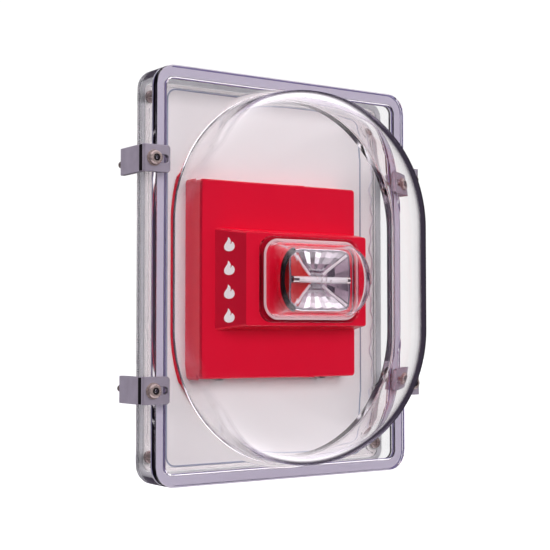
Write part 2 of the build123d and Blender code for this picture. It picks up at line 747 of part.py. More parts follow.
with BuildPart() as tube_electrodes:
    for end_x, lead_x, inward in zip(tube_ends, lead_xs, (1, -1)):
        # sealed electrode inside the tube and its end cap
        with BuildSketch(Plane.YZ.offset(end_x)):
            with Locations((-tube_depth, unit_z)):
                Circle(tube_radius - 0.7)
        extrude(amount=inward * 5.0)
        with BuildSketch(Plane.YZ.offset(end_x)):
            with Locations((-tube_depth, unit_z)):
                Circle(tube_radius + 0.1)
        extrude(amount=-inward * tube_cap_length)
        # lead from the end cap down to the board
        with BuildSketch(front(board_front - 1.0)):
            with Locations((lead_x, unit_z)):
                Circle(lead_radius)
        extrude(amount=tube_depth - board_front + 1.0)
tube_electrodes.part.label = "tube_electrodes"
export_step(tube_electrodes.part, "parts/tube_electrodes.step")

# trigger wire: three turns round the middle of the tube, joined along its back
with BuildPart() as trigger_wire:
    for turn in (-1, 0, 1):
        with BuildSketch(Plane.YZ.offset(reflector_x + turn * 5.0 - 0.25)):
            with Locations((-tube_depth, unit_z)):
                Circle(tube_radius + 0.45)
                Circle(tube_radius + 0.02, mode=Mode.SUBTRACT)
        extrude(amount=0.5)
    with BuildSketch(front(tube_depth - tube_radius - 0.45)):
        with Locations((reflector_x, unit_z)):
            Rectangle(10.5, 0.5)
    extrude(amount=0.4)
trigger_wire.part.label = "trigger_wire"
export_step(trigger_wire.part, "parts/trigger_wire.step")
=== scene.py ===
"""Horn strobe under a clear protective cover: its looks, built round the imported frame.

The wall is the plane y = 0, the front looks along -Y and +Z is up. Sizes in the classes are in
millimetres, and a depth is a distance in front of the wall, so a depth of d is y = -d. Meshes are
worked out in millimetres and put in place in metres.
"""

from __future__ import annotations

import logging
import math
from collections.abc import Callable
from dataclasses import dataclass
from enum import Enum

import bmesh
import bpy
import numpy as np
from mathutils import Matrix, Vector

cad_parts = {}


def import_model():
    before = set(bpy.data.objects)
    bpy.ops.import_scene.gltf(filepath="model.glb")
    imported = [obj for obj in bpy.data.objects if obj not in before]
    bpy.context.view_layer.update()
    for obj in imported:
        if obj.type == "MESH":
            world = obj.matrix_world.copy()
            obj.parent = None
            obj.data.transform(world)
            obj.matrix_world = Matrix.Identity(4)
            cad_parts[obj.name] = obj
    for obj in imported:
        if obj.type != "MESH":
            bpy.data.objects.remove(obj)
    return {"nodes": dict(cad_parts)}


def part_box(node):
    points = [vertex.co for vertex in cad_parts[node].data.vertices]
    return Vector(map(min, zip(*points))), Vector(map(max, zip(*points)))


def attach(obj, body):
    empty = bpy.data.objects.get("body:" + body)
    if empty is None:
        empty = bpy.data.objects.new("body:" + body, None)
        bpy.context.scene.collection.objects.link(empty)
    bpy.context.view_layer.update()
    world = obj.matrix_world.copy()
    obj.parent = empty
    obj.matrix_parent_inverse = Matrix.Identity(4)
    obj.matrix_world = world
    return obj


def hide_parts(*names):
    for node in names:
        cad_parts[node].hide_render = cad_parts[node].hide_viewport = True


log = logging.getLogger("horn_strobe")

MM = 0.001
WALL = "wall_assembly"
COVER = "cover"
CLAMPS = ("clamp_left_upper", "clamp_left_lower", "clamp_right_upper", "clamp_right_lower")
SETTINGS = ("candela", "volume")
WHITE = (1.0, 1.0, 1.0)
# Points closer than this many millimetres become one; edges that turn more degrees stay sharp.
MERGE = 0.01
SHARP = 38.0

Socket = bpy.types.NodeSocket
Piece = bpy.types.Object
NODES: dict[str, Piece] = {}


# ---------------------------------------------------------------- outlines, profiles and grids
def rectangle_reach(
    angles: np.ndarray, half_width: float, half_height: float, radius: float
) -> np.ndarray:
    """Distance from the middle to a rounded rectangle along each ray.

    A ray meets a straight side at half_width / |cos| or half_height / |sin|, and in a corner it
    meets the corner's circle, by the quadratic formula.

    Args:
        angles: polar angles of the rays, from +X towards +Z.
        half_width: half of the rectangle's width.
        half_height: half of its height.
        radius: its corner radius.

    Returns:
        One distance for each angle.
    """
    across, up = np.abs(np.cos(angles)) + 1e-12, np.abs(np.sin(angles)) + 1e-12
    core = np.array([half_width - radius, half_height - radius])
    along = across * core[0] + up * core[1]
    corner = along + np.sqrt(np.maximum(along**2 - core @ core + radius**2, 0))
    side, top = half_width / across, half_height / up
    reach = np.where(side * up <= core[1], side, corner)
    return np.where(top * across <= core[0], top, reach)


def rounded_profile(
    corners: list[tuple[float, float]], radii: list[float], steps: int = 5, closed: bool = False
) -> np.ndarray:
    """A polyline whose corners are rounded by tangent arcs.

    Each arc starts radius * tan(turn / 2) before its corner and runs in equal turns. A guard point
    stands just before and just after it, so that shading stays flat on the flat stretches.

    Args:
        corners: the corner points.
        radii: one radius for each corner; 0 keeps it sharp.
        steps: pieces in each arc.
        closed: whether the last corner joins the first.

    Returns:
        The points, one row each.
    """
    points: list[np.ndarray] = []
    count = len(corners)
    at = np.array(corners, float)
    for i in range(count):
        if radii[i] <= 0 or (not closed and i in (0, count - 1)):
            points.append(at[i][None])
            continue
        into, out = at[i] - at[i - 1], at[(i + 1) % count] - at[i]
        into, out = into / np.linalg.norm(into), out / np.linalg.norm(out)
        turn = math.atan2(into[0] * out[1] - into[1] * out[0], into @ out)
        setback = radii[i] * math.tan(abs(turn) / 2)
        start = at[i] - into * setback
        side = np.array([-into[1], into[0]]) * math.copysign(radii[i], turn)
        swing = np.linspace(0, turn, steps + 1)
        cos, sin = np.cos(swing)[:, None], np.sin(swing)[:, None]
        arc = start + side - side * cos + np.array([side[1], -side[0]]) * sin * math.copysign(1, turn)
        guard = min(0.25, radii[i] * 0.2)
        points += [(start - into * guard)[None], arc, (at[i] + out * (setback + guard))[None]]
    return np.concatenate(points)


def grid_faces(rows: int, columns: int, wrap_rows: bool, wrap_columns: bool) -> np.ndarray:
    """Quads of a grid of points numbered row by row.

    Args:
        rows: number of rows.
        columns: number of points in a row.
        wrap_rows: whether the last row joins the first.
        wrap_columns: whether the last point of a row joins its first.

    Returns:
        Four point numbers for each quad.
    """
    row = np.arange(rows if wrap_rows else rows - 1)[:, None]
    column = np.arange(columns if wrap_columns else columns - 1)[None]
    next_row, next_column = (row + 1) % rows, (column + 1) % columns
    corners = (
        row * columns + column,
        row * columns + next_column,
        next_row * columns + next_column,
        next_row * columns + column,
    )
    return np.stack([np.broadcast_to(c, (row.size, column.size)) for c in corners], -1).reshape(-1, 4)


def place(x: np.ndarray, depth: np.ndarray, z: np.ndarray) -> np.ndarray:
    """Points in metres from X, depth and Z in millimetres."""
    return np.stack(np.broadcast_arrays(x, -np.asarray(depth), z), -1).reshape(-1, 3) * MM


def make_piece(name: str, points: np.ndarray, faces: np.ndarray | list, finish: Finish) -> Piece:
    """A closed, smooth mesh object whose faces point outwards.

    Points closer than a hundredth of a millimetre are merged, which closes seams and poles. The
    signed volume, the sum of the cones from the origin to each face, tells whether it is inside out.

    Args:
        name: the piece's name.
        points: its points in metres.
        faces: point numbers of its faces.
        finish: what it is made of.

    Returns:
        The new object, at the origin.
    """
    mesh = bpy.data.meshes.new(name)
    mesh.from_pydata(points.tolist(), [], [list(f) for f in faces])
    shape = bmesh.new()
    shape.from_mesh(mesh)
    bmesh.ops.remove_doubles(shape, verts=shape.verts, dist=MERGE * MM)
    bmesh.ops.dissolve_degenerate(shape, edges=shape.edges, dist=0.001 * MM)
    if shape.calc_volume(signed=True) < 0:
        bmesh.ops.reverse_faces(shape, faces=shape.faces)
    shape.to_mesh(mesh)
    shape.free()
    mesh.polygons.foreach_set("use_smooth", np.ones(len(mesh.polygons), bool))
    mesh.set_sharp_from_angle(angle=math.radians(SHARP))
    piece = bpy.data.objects.new(name, mesh)
    bpy.context.scene.collection.objects.link(piece)
    mesh.materials.append(finish.material())
    return piece


def softened(node: str, name: str, finish: Finish, width: float, segments: int = 3) -> Piece:
    """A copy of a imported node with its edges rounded, as moulding and pressing leave them.

    Args:
        node: the node to copy and stand for.
        name: the piece's name.
        finish: what it is made of.
        width: bevel width in millimetres.
        segments: steps in each bevel.

    Returns:
        The new object.
    """
    mesh = NODES[node].data.copy()
    shape = bmesh.new()
    shape.from_mesh(mesh)
    bmesh.ops.remove_doubles(shape, verts=shape.verts, dist=0.002 * MM)
    bmesh.ops.dissolve_limit(
        shape, angle_limit=math.radians(0.6), verts=shape.verts, edges=shape.edges
    )
    shape.to_mesh(mesh)
    shape.free()
    mesh.materials.clear()
    mesh.materials.append(finish.material())
    mesh.polygons.foreach_set("use_smooth", np.ones(len(mesh.polygons), bool))
    piece = bpy.data.objects.new(name, mesh)
    bpy.context.scene.collection.objects.link(piece)
    bevel = piece.modifiers.new("rounded_edges", "BEVEL")
    bevel.width, bevel.segments = width * MM, segments
    bevel.limit_method, bevel.angle_limit = "ANGLE", math.radians(40)
    bevel.use_clamp_overlap = True
    even = piece.modifiers.new("flat_faces", "WEIGHTED_NORMAL")
    even.keep_sharp = True
    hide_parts(node)
    return piece


# ---------------------------------------------------------------- shader node groups
def new_group(name: str, inputs: dict[str, float | tuple], outputs: dict[str, str]) -> tuple:
    """A shader node group with named sockets.

    Args:
        name: the group's name.
        inputs: each input's name and default; a number or a colour.
        outputs: each output's name and socket type.

    Returns:
        The group, its input node and its output node.
    """
    group = bpy.data.node_groups.new(name, "ShaderNodeTree")
    for label, default in inputs.items():
        kind = "NodeSocketColor" if isinstance(default, tuple) else "NodeSocketFloat"
        socket = group.interface.new_socket(label, in_out="INPUT", socket_type=kind)
        socket.default_value = default
    for label, kind in outputs.items():
        group.interface.new_socket(label, in_out="OUTPUT", socket_type=kind)
    return group, group.nodes.new("NodeGroupInput"), group.nodes.new("NodeGroupOutput")


def noise(group: bpy.types.NodeTree, vector: Socket, scale: Socket | float, detail: float) -> Socket:
    """A noise texture's value.

    Args:
        group: the nodes to add it to.
        vector: where it is read.
        scale: how many waves in a metre; a socket or a number.
        detail: how many finer waves are added.

    Returns:
        The value, from 0 to 1.
    """
    node = group.nodes.new("ShaderNodeTexNoise")
    node.inputs["Detail"].default_value = detail
    group.links.new(vector, node.inputs["Vector"])
    if isinstance(scale, float):
        node.inputs["Scale"].default_value = scale
    else:
        group.links.new(scale, node.inputs["Scale"])
    return node.outputs["Fac"]


def arithmetic(group: bpy.types.NodeTree, operation: str, *values: Socket | float) -> Socket:
    """A Math node's result.

    Args:
        group: the nodes to add it to.
        operation: the node's operation.
        *values: its inputs; each is a socket or a number.

    Returns:
        The result.
    """
    node = group.nodes.new("ShaderNodeMath")
    node.operation = operation
    for socket, value in zip(node.inputs, values):
        if isinstance(value, (int, float)):
            socket.default_value = value
        else:
            group.links.new(value, socket)
    return node.outputs[0]


def mix_colours(
    group: bpy.types.NodeTree, factor: Socket, one: Socket | tuple, other: Socket | tuple
) -> Socket:
    """A blend of two colours.

    Args:
        group: the nodes to add it to.
        factor: share of the second colour.
        one: the first colour; a socket or red, green and blue.
        other: the second colour.

    Returns:
        The blend.
    """
    node = group.nodes.new("ShaderNodeMix")
    node.data_type = "RGBA"
    group.links.new(factor, node.inputs["Factor"])
    for label, colour in (("A", one), ("B", other)):
        if isinstance(colour, tuple):
            node.inputs[label].default_value = (*colour, 1.0)
        else:
            group.links.new(colour, node.inputs[label])
    return node.outputs["Result"]


def smooth_step(group: bpy.types.NodeTree, value: Socket, low: float, high: float) -> Socket:
    """Zero below a low value, one above a high one, and a smooth rise between.

    Args:
        group: the nodes to add it to.
        value: the value.
        low: where the rise starts.
        high: where it ends.

    Returns:
        The step.
    """
    node = group.nodes.new("ShaderNodeMapRange")
    node.interpolation_type = "SMOOTHSTEP"
    node.inputs["From Min"].default_value = low
    node.inputs["From Max"].default_value = high
    group.links.new(value, node.inputs["Value"])
    return node.outputs["Result"]


def colour_ramp(
    group: bpy.types.NodeTree, value: Socket, stops: list[tuple[float, tuple[float, float, float]]]
) -> Socket:
    """A colour that eases from stop to stop as a value rises.

    Args:
        group: the nodes to add it to.
        value: the value, from 0 to 1.
        stops: place and colour of each stop, in rising order.

    Returns:
        The colour.
    """
    node = group.nodes.new("ShaderNodeValToRGB")
    node.color_ramp.interpolation = "EASE"
    elements = node.color_ramp.elements
    for element, (position, colour) in zip(elements, (stops[0], stops[-1])):
        element.position = position
        element.color = (*colour, 1.0)
    for position, colour in stops[1:-1]:
        elements.new(position).color = (*colour, 1.0)
    group.links.new(value, node.inputs["Fac"])
    return node.outputs["Color"]


def moulded_surface() -> bpy.types.NodeTree:
    """Group: colour, roughness and height of moulded or coated material.

    A broad noise shifts the colour's brightness and the roughness a little, as flow and handling
    do, and a fine noise is the grain of the mould.

    Returns:
        The group, made once.
    """
    name = "moulded_surface"
    if name in bpy.data.node_groups:
        return bpy.data.node_groups[name]
    group, given, made = new_group(
        name,
        {
            "Colour": (0.8, 0.8, 0.8, 1.0),
            "Roughness": 0.4,
            "Variation": 0.05,
            "Roughness Variation": 0.08,
            "Grain Scale": 900.0,
        },
        {"Colour": "NodeSocketColor", "Roughness": "NodeSocketFloat", "Height": "NodeSocketFloat"},
    )
    place_node = group.nodes.new("ShaderNodeTexCoord")
    here = place_node.outputs["Object"]
    broad = noise(group, here, 28.0, 3.0)
    smears = noise(group, here, 95.0, 5.0)
    grain = noise(group, here, given.outputs["Grain Scale"], 2.0)
    shift = arithmetic(group, "MULTIPLY_ADD", broad, 2.0, -1.0)
    bright = arithmetic(group, "MULTIPLY_ADD", shift, given.outputs["Variation"], 1.0)
    colour = group.nodes.new("ShaderNodeHueSaturation")
    group.links.new(bright, colour.inputs["Value"])
    group.links.new(given.outputs["Colour"], colour.inputs["Color"])
    smear_shift = arithmetic(group, "MULTIPLY_ADD", smears, 2.0, -1.0)
    rough = arithmetic(
        group,
        "MULTIPLY_ADD",
        smear_shift,
        given.outputs["Roughness Variation"],
        given.outputs["Roughness"],
    )
    limited = arithmetic(group, "MAXIMUM", rough, 0.015)
    group.links.new(colour.outputs["Color"], made.inputs["Colour"])
    group.links.new(limited, made.inputs["Roughness"])
    group.links.new(grain, made.inputs["Height"])
    return group


def brushed_surface() -> bpy.types.NodeTree:
    """Group: colour, roughness and height of rolled or turned metal.

    Noise stretched thirty times along X gives the streaks; a broad noise dulls patches of it.

    Returns:
        The group, made once.
    """
    name = "brushed_surface"
    if name in bpy.data.node_groups:
        return bpy.data.node_groups[name]
    group, given, made = new_group(
        name,
        {
            "Colour": (0.6, 0.6, 0.6, 1.0),
            "Dull Colour": (0.45, 0.45, 0.45, 1.0),
            "Roughness": 0.3,
            "Roughness Variation": 0.12,
            "Streak Scale": 1400.0,
        },
        {"Colour": "NodeSocketColor", "Roughness": "NodeSocketFloat", "Height": "NodeSocketFloat"},
    )
    place_node = group.nodes.new("ShaderNodeTexCoord")
    stretch = group.nodes.new("ShaderNodeMapping")
    stretch.inputs["Scale"].default_value = (1 / 30, 1.0, 1.0)
    group.links.new(place_node.outputs["Object"], stretch.inputs["Vector"])
    streaks = noise(group, stretch.outputs["Vector"], given.outputs["Streak Scale"], 3.0)
    patches = noise(group, place_node.outputs["Object"], 160.0, 4.0)
    colour = mix_colours(group, patches, given.outputs["Colour"], given.outputs["Dull Colour"])
    shift = arithmetic(group, "MULTIPLY_ADD", streaks, 2.0, -1.0)
    rough = arithmetic(
        group, "MULTIPLY_ADD", shift, given.outputs["Roughness Variation"], given.outputs["Roughness"]
    )
    group.links.new(colour, made.inputs["Colour"])
    group.links.new(rough, made.inputs["Roughness"])
    group.links.new(streaks, made.inputs["Height"])
    return group


# ---------------------------------------------------------------- finishes
@dataclass(frozen=True)
class Finish:
    """What a piece is made of: a material with its pattern from a shared node group.

    Attributes:
        name: the material's name.
        slot: the record's slot that pieces of it take.
        colour: base colour, linear.
        roughness: mean roughness.
    """

    name: str
    slot: str
    colour: tuple[float, float, float]
    roughness: float = 0.4

    def material(self) -> bpy.types.Material:
        """The finish's material, made once.

        Returns:
            The material.
        """
        if self.name in bpy.data.materials:
            return bpy.data.materials[self.name]
        made = bpy.data.materials.new(self.name)
        made.use_nodes = True
        made.diffuse_color = (*self.colour, 1.0)
        self.dress(made.node_tree, made.node_tree.nodes["Principled BSDF"])
        return made

    def dress(self, tree: bpy.types.NodeTree, surface: bpy.types.Node) -> None:
        """Set the surface's sockets and link its pattern."""
        raise NotImplementedError

    def bump(self, tree: bpy.types.NodeTree, surface: bpy.types.Node, height: Socket, size: float) -> None:
        """Link a height to the surface's normal.

        Args:
            tree: the material's nodes.
            surface: its shader.
            height: the height, from 0 to 1.
            size: what a height of 1 stands for, in millimetres.
        """
        bump = tree.nodes.new("ShaderNodeBump")
        bump.inputs["Strength"].default_value = 1.0
        bump.inputs["Distance"].default_value = size * MM
        tree.links.new(height, bump.inputs["Height"])
        tree.links.new(bump.outputs["Normal"], surface.inputs["Normal"])


@dataclass(frozen=True)
class Moulded(Finish):
    """Opaque moulded, printed or coated material.

    Attributes:
        variation: how far the colour's brightness shifts.
        roughness_variation: how far the roughness shifts.
        grain: scale of the mould's grain.
        grain_height: its height in millimetres.
        coat: weight of the clear coat.
        specular: level of the mirror reflection.
    """

    variation: float = 0.05
    roughness_variation: float = 0.06
    grain: float = 900.0
    grain_height: float = 0.01
    coat: float = 0.0
    specular: float = 0.5

    def dress(self, tree: bpy.types.NodeTree, surface: bpy.types.Node) -> None:
        """Colour, roughness and grain from the moulded group.

        Args:
            tree: the material's nodes.
            surface: its shader.
        """
        pattern = tree.nodes.new("ShaderNodeGroup")
        pattern.node_tree = moulded_surface()
        pattern.inputs["Colour"].default_value = (*self.colour, 1.0)
        pattern.inputs["Roughness"].default_value = self.roughness
        pattern.inputs["Variation"].default_value = self.variation
        pattern.inputs["Roughness Variation"].default_value = self.roughness_variation
        pattern.inputs["Grain Scale"].default_value = self.grain
        tree.links.new(pattern.outputs["Colour"], surface.inputs["Base Color"])
        tree.links.new(pattern.outputs["Roughness"], surface.inputs["Roughness"])
        surface.inputs["Specular IOR Level"].default_value = self.specular
        surface.inputs["Coat Weight"].default_value = self.coat
        surface.inputs["Coat Roughness"].default_value = 0.12
        self.bump(tree, surface, pattern.outputs["Height"], self.grain_height)


@dataclass(frozen=True)
class Metal(Finish):
    """Rolled, turned or plated metal.

    Attributes:
        dull: colour of its dull patches.
        roughness_variation: how far the streaks shift the roughness.
        streaks: scale of the streaks.
        streak_height: their height in millimetres.
        metallic: how far it reflects as bare metal.
    """

    dull: tuple[float, float, float] = (0.4, 0.4, 0.4)
    roughness_variation: float = 0.1
    streaks: float = 1400.0
    streak_height: float = 0.003
    metallic: float = 1.0

    def dress(self, tree: bpy.types.NodeTree, surface: bpy.types.Node) -> None:
        """Colour, roughness and streaks from the brushed group.

        Args:
            tree: the material's nodes.
            surface: its shader.
        """
        pattern = tree.nodes.new("ShaderNodeGroup")
        pattern.node_tree = brushed_surface()
        pattern.inputs["Colour"].default_value = (*self.colour, 1.0)
        pattern.inputs["Dull Colour"].default_value = (*self.dull, 1.0)
        pattern.inputs["Roughness"].default_value = self.roughness
        pattern.inputs["Roughness Variation"].default_value = self.roughness_variation
        pattern.inputs["Streak Scale"].default_value = self.streaks
        tree.links.new(pattern.outputs["Colour"], surface.inputs["Base Color"])
        tree.links.new(pattern.outputs["Roughness"], surface.inputs["Roughness"])
        surface.inputs["Metallic"].default_value = self.metallic
        self.bump(tree, surface, pattern.outputs["Height"], self.streak_height)


@dataclass(frozen=True)
class ClearPlastic(Finish):
    """Clear plastic or glass that refracts, tints with thickness and lets lamps through.

    Attributes:
        ior: index of refraction.
        tint: colour that a long path through it comes to.
        density: how soon it comes to it.
        gleam: tint of the mirror reflection at a steep angle.
        roughness_variation: how far smears shift the roughness.
    """

    ior: float = 1.58
    tint: tuple[float, float, float] = (0.60, 0.58, 0.61)
    density: float = 14.0
    gleam: float = 0.15
    roughness_variation: float = 0.012

    def dress(self, tree: bpy.types.NodeTree, surface: bpy.types.Node) -> None:
        """Plain transmission, smears in the roughness, tint by the path inside the plastic.

        Args:
            tree: the material's nodes.
            surface: its shader.
        """
        surface.inputs["Transmission Weight"].default_value = 1.0
        surface.inputs["IOR"].default_value = self.ior
        surface.inputs["Specular Tint"].default_value = (self.gleam, self.gleam, self.gleam, 1.0)
        surface.inputs["Base Color"].default_value = (*self.colour, 1.0)
        pattern = tree.nodes.new("ShaderNodeGroup")
        pattern.node_tree = moulded_surface()
        pattern.inputs["Roughness"].default_value = self.roughness
        pattern.inputs["Roughness Variation"].default_value = self.roughness_variation
        tree.links.new(pattern.outputs["Roughness"], surface.inputs["Roughness"])
        output = tree.nodes["Material Output"]
        path = tree.nodes.new("ShaderNodeLightPath")
        clear = tree.nodes.new("ShaderNodeBsdfTransparent")
        clear.inputs["Color"].default_value = (*self.colour, 1.0)
        mix = tree.nodes.new("ShaderNodeMixShader")
        tree.links.new(path.outputs["Is Shadow Ray"], mix.inputs[0])
        tree.links.new(surface.outputs[0], mix.inputs[1])
        tree.links.new(clear.outputs[0], mix.inputs[2])
        tree.links.new(mix.outputs[0], output.inputs["Surface"])
        if self.density > 0:
            absorb = tree.nodes.new("ShaderNodeVolumeAbsorption")
            absorb.inputs["Color"].default_value = (*self.tint, 1.0)
            absorb.inputs["Density"].default_value = self.density
            tree.links.new(absorb.outputs[0], output.inputs["Volume"])


class Finishes(Enum):
    """Every finish on the object."""

    COVER = ClearPlastic("cover_plastic", "cover_polycarbonate", (0.987, 0.984, 0.988), 0.015)
    FRAME = ClearPlastic(
        "frame_plastic", "frame_polycarbonate", (0.988, 0.985, 0.989), 0.02, density=12.0
    )
    # Lighter copy of the clamp metal for the faces turned to ±X: painted light on the clamps' risers.
    LIT_CLAMP_FACES = Metal(
        "clamp_painted_light", "clamp_steel", (0.56, 0.50, 0.60), 0.35, dull=(0.36, 0.31, 0.39), metallic=0.2
    )
    CLAMP = Metal(
        "clamp_metal", "clamp_steel", (0.26, 0.23, 0.28), 0.4, dull=(0.17, 0.15, 0.19), metallic=0.25
    )
    LENS = ClearPlastic(
        "lens_plastic", "lens_polycarbonate", (0.99, 0.97, 0.98), 0.01, tint=(0.9, 0.7, 0.75), density=20.0
    )
    TUBE = ClearPlastic("tube_glass", "tube_glass", (0.99, 0.985, 0.97), 0.01, ior=1.47, density=0.0)
    SEAL = ClearPlastic(
        "clear_seal", "clear_seal", (0.97, 0.95, 0.95), 0.1, ior=1.45, tint=(0.5, 0.48, 0.53), density=16.0
    )
    # Dark grey-blue line round the plate.
    PLATE_LINE = Moulded("plate_dark_line", "clear_seal", (0.36, 0.39, 0.50), 0.35, variation=0.08)
    # Dark purple for the cords along the seal's edges: painted shade.
    SEAL_LINE_SHADE = Moulded("seal_painted_shade", "clear_seal", (0.20, 0.17, 0.33), 0.4, variation=0.1)
    # Pale wavy line on the plate.
    PLATE_WAVE = Moulded("plate_pale_wave", "clear_seal", (0.80, 0.80, 0.86), 0.3, variation=0.08)
    # Pale pink bead round the lens' foot: painted highlight along the flange.
    LENS_FOOT_HIGHLIGHT = Moulded(
        "painted_lens_highlight", "lens_polycarbonate", (0.86, 0.56, 0.58), 0.2, coat=0.6, grain_height=0.004
    )
    # Near-white tubes along the reflector's creases: painted highlight.
    CREASE_HIGHLIGHT = Metal(
        "reflector_crease_highlight",
        "reflector_chrome",
        (0.98, 0.95, 0.97),
        0.25,
        dull=(0.9, 0.85, 0.9),
        metallic=0.2,
    )
    # Red copy of the chrome for the faces beside the red wall: painted reflection.
    CHROME_RED_REFLECTION = Metal(
        "chrome_beside_red",
        "reflector_chrome",
        (0.72, 0.05, 0.04),
        0.3,
        dull=(0.5, 0.02, 0.03),
        metallic=0.4,
    )
    FOAM = Moulded("foam_seal", "foam_seal", (0.76, 0.72, 0.73), 0.9, grain=2600.0, grain_height=0.08)
    LENS_SEAL = Moulded("lens_seal_rubber", "red_seal", (0.46, 0.004, 0.02), 0.5)
    PLATE = Moulded(
        "back_plate_plastic", "white_plastic", (0.93, 0.905, 0.905), 0.5, variation=0.02, grain=1500.0
    )
    # Darker copy of the red for the ramp, which faces left and front: painted shade.
    RAMP_PAINTED_SHADE = Moulded(
        "alarm_red_painted_shade", "red_plastic", (0.50, 0.003, 0.022), 0.4, variation=0.03, grain=1700.0
    )
    RED = Moulded(
        "alarm_red",
        "red_plastic",
        (0.74, 0.004, 0.03),
        0.36,
        variation=0.03,
        grain=1700.0,
        grain_height=0.012,
    )
    INK = Moulded("white_ink", "white_ink", (0.95, 0.90, 0.89), 0.5, variation=0.03, grain=3000.0)
    BOARD = Moulded("board_mask", "board_laminate", (0.01, 0.12, 0.04), 0.32, grain=2400.0, coat=0.4)
    SLEEVE = Moulded("capacitor_sleeve", "capacitor_sleeve", (0.015, 0.02, 0.06), 0.3, coat=0.3)
    BOBBIN = Moulded("bobbin_plastic", "transformer_plastic", (0.03, 0.03, 0.03), 0.5)
    FERRITE = Moulded("ferrite", "ferrite", (0.04, 0.036, 0.036), 0.75, grain=3200.0, grain_height=0.05)
    CHIP = Moulded("chip_epoxy", "chip_plastic", (0.012, 0.012, 0.012), 0.55, grain=2800.0)
    BLACK = Moulded("black_plastic", "black_plastic", (0.016, 0.016, 0.018), 0.45)
    TERMINAL = Moulded("terminal_plastic", "terminal_plastic", (0.02, 0.16, 0.06), 0.4)
    KNOB = Moulded("knob_plastic", "knob_plastic", (0.75, 0.73, 0.68), 0.4)
    # Near-black for the rib's cap, and for the strips and discs of painted shade at the clamps' bends and in
    # the screw heads.
    BLACK_AND_SHADE = Moulded("black_and_painted_shade", "black_plastic", (0.006, 0.004, 0.005), 0.6, specular=0.1)
    ZINC = Metal("zinc_plate", "zinc_steel", (0.62, 0.66, 0.68), 0.3, dull=(0.5, 0.53, 0.5))
    # Steel of the screws and washers: real metal, with a warm brown tone in its colour that is painted
    # reflection.
    STAINLESS = Metal(
        "stainless", "stainless_steel", (0.46, 0.37, 0.35), 0.26, dull=(0.26, 0.2, 0.19), metallic=0.55
    )
    NICKEL = Metal("nickel_plate", "nickel_steel", (0.7, 0.68, 0.64), 0.18, dull=(0.55, 0.53, 0.5))
    GALVANISED = Metal("galvanised", "galvanised_steel", (0.55, 0.58, 0.6), 0.42, dull=(0.42, 0.45, 0.47))
    COPPER = Metal("enamelled_copper", "copper_wire", (0.72, 0.26, 0.09), 0.3, dull=(0.5, 0.16, 0.05))
    BRASS = Metal("sounder_brass", "brass_disc", (0.75, 0.55, 0.22), 0.3, dull=(0.6, 0.42, 0.16))
    CHROME = Metal(
        "reflector_chrome",
        "reflector_chrome",
        (0.93, 0.91, 0.93),
        0.05,
        dull=(0.86, 0.83, 0.87),
        roughness_variation=0.03,
        streaks=300.0,
        streak_height=0.04,
    )


def settle(piece: Piece, body: str, finish: Finishes, *nodes: str) -> Piece:
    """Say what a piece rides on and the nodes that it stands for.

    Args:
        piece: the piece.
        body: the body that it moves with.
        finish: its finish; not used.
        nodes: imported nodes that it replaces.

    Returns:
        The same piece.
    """
    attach(piece, body)
    if nodes:
        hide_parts(*nodes)
    log.info("%s rides on %s, %d faces", piece.name, body, len(piece.data.polygons))
    return piece


def finished(
    node: str, body: str, finish: Finishes, width: float, ending: str = "finished"
) -> Piece:
    """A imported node's copy with rounded edges, settled on its body.

    Args:
        node: the node.
        body: the body that it moves with.
        finish: what it is made of.
        width: bevel width in millimetres.
        ending: end of the piece's name.

    Returns:
        The piece.
    """
    return settle(softened(node, f"{node}_{ending}", finish.value, width), body, finish)


def refinish(piece: Piece, finish: Finishes, choose: Callable[[np.ndarray], np.ndarray]) -> None:
    """Give some of a piece's faces a second finish of the same slot.

    Args:
        piece: the piece.
        finish: the second finish.
        choose: says from the faces' normals which of them get it.
    """
    normals = np.zeros(3 * len(piece.data.polygons))
    piece.data.polygons.foreach_get("normal", normals)
    piece.data.materials.append(finish.value.material())
    chosen = choose(normals.reshape(-1, 3))
    piece.data.polygons.foreach_set("material_index", chosen.astype(np.int32))
    log.info("%s: %d faces in %s", piece.name, chosen.sum(), finish.value.name)


def span(node: str) -> tuple[np.ndarray, np.ndarray]:
    """Lowest and highest (x, depth, z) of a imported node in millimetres."""
    low, high = (np.array(corner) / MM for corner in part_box(node))
    return np.array([low[0], -high[1], low[2]]), np.array([high[0], -low[1], high[2]])


def loft_rings(name: str, rings: np.ndarray, finish: Finishes) -> Piece:
    """A skin over closed rings of points; rings of shape (rings, points, 3) in metres, first to last.

    Args:
        name: the piece's name.
        rings: the rings. If the first and last are the same or shrink to nothing, the skin is closed.
        finish: what it is made of.

    Returns:
        The new object.
    """
    faces = grid_faces(rings.shape[0], rings.shape[1], False, True)
    return make_piece(name, rings.reshape(-1, 3), faces, finish.value)


def turned(
    name: str,
    profile: np.ndarray,
    middle: tuple[float, float, float],
    axis: str,
    finish: Finishes,
    turns: int = 64,
) -> Piece:
    """A profile turned round an axis parallel to X, Y (depth) or Z.

    A point (along, radius) goes to the middle plus along the axis, and radius times the cosine and
    sine of the turn across it.

    Args:
        name: the piece's name.
        profile: (along, radius) of each ring.
        middle: (x, depth, z) of the axis' start.
        axis: "x", "depth" or "z".
        finish: what it is made of.
        turns: points in each ring.

    Returns:
        The new object.
    """
    swing = np.linspace(0, 2 * np.pi, turns, endpoint=False)
    along = np.repeat(profile[:, :1], turns, 1)
    one, two = profile[:, 1:] * np.cos(swing), profile[:, 1:] * np.sin(swing)
    order = {"x": (along, one, two), "depth": (one, along, two), "z": (one, two, along)}[axis]
    x, depth, z = (part + start for part, start in zip(order, middle))
    return loft_rings(name, place(x, depth, z).reshape(len(profile), turns, 3), finish)


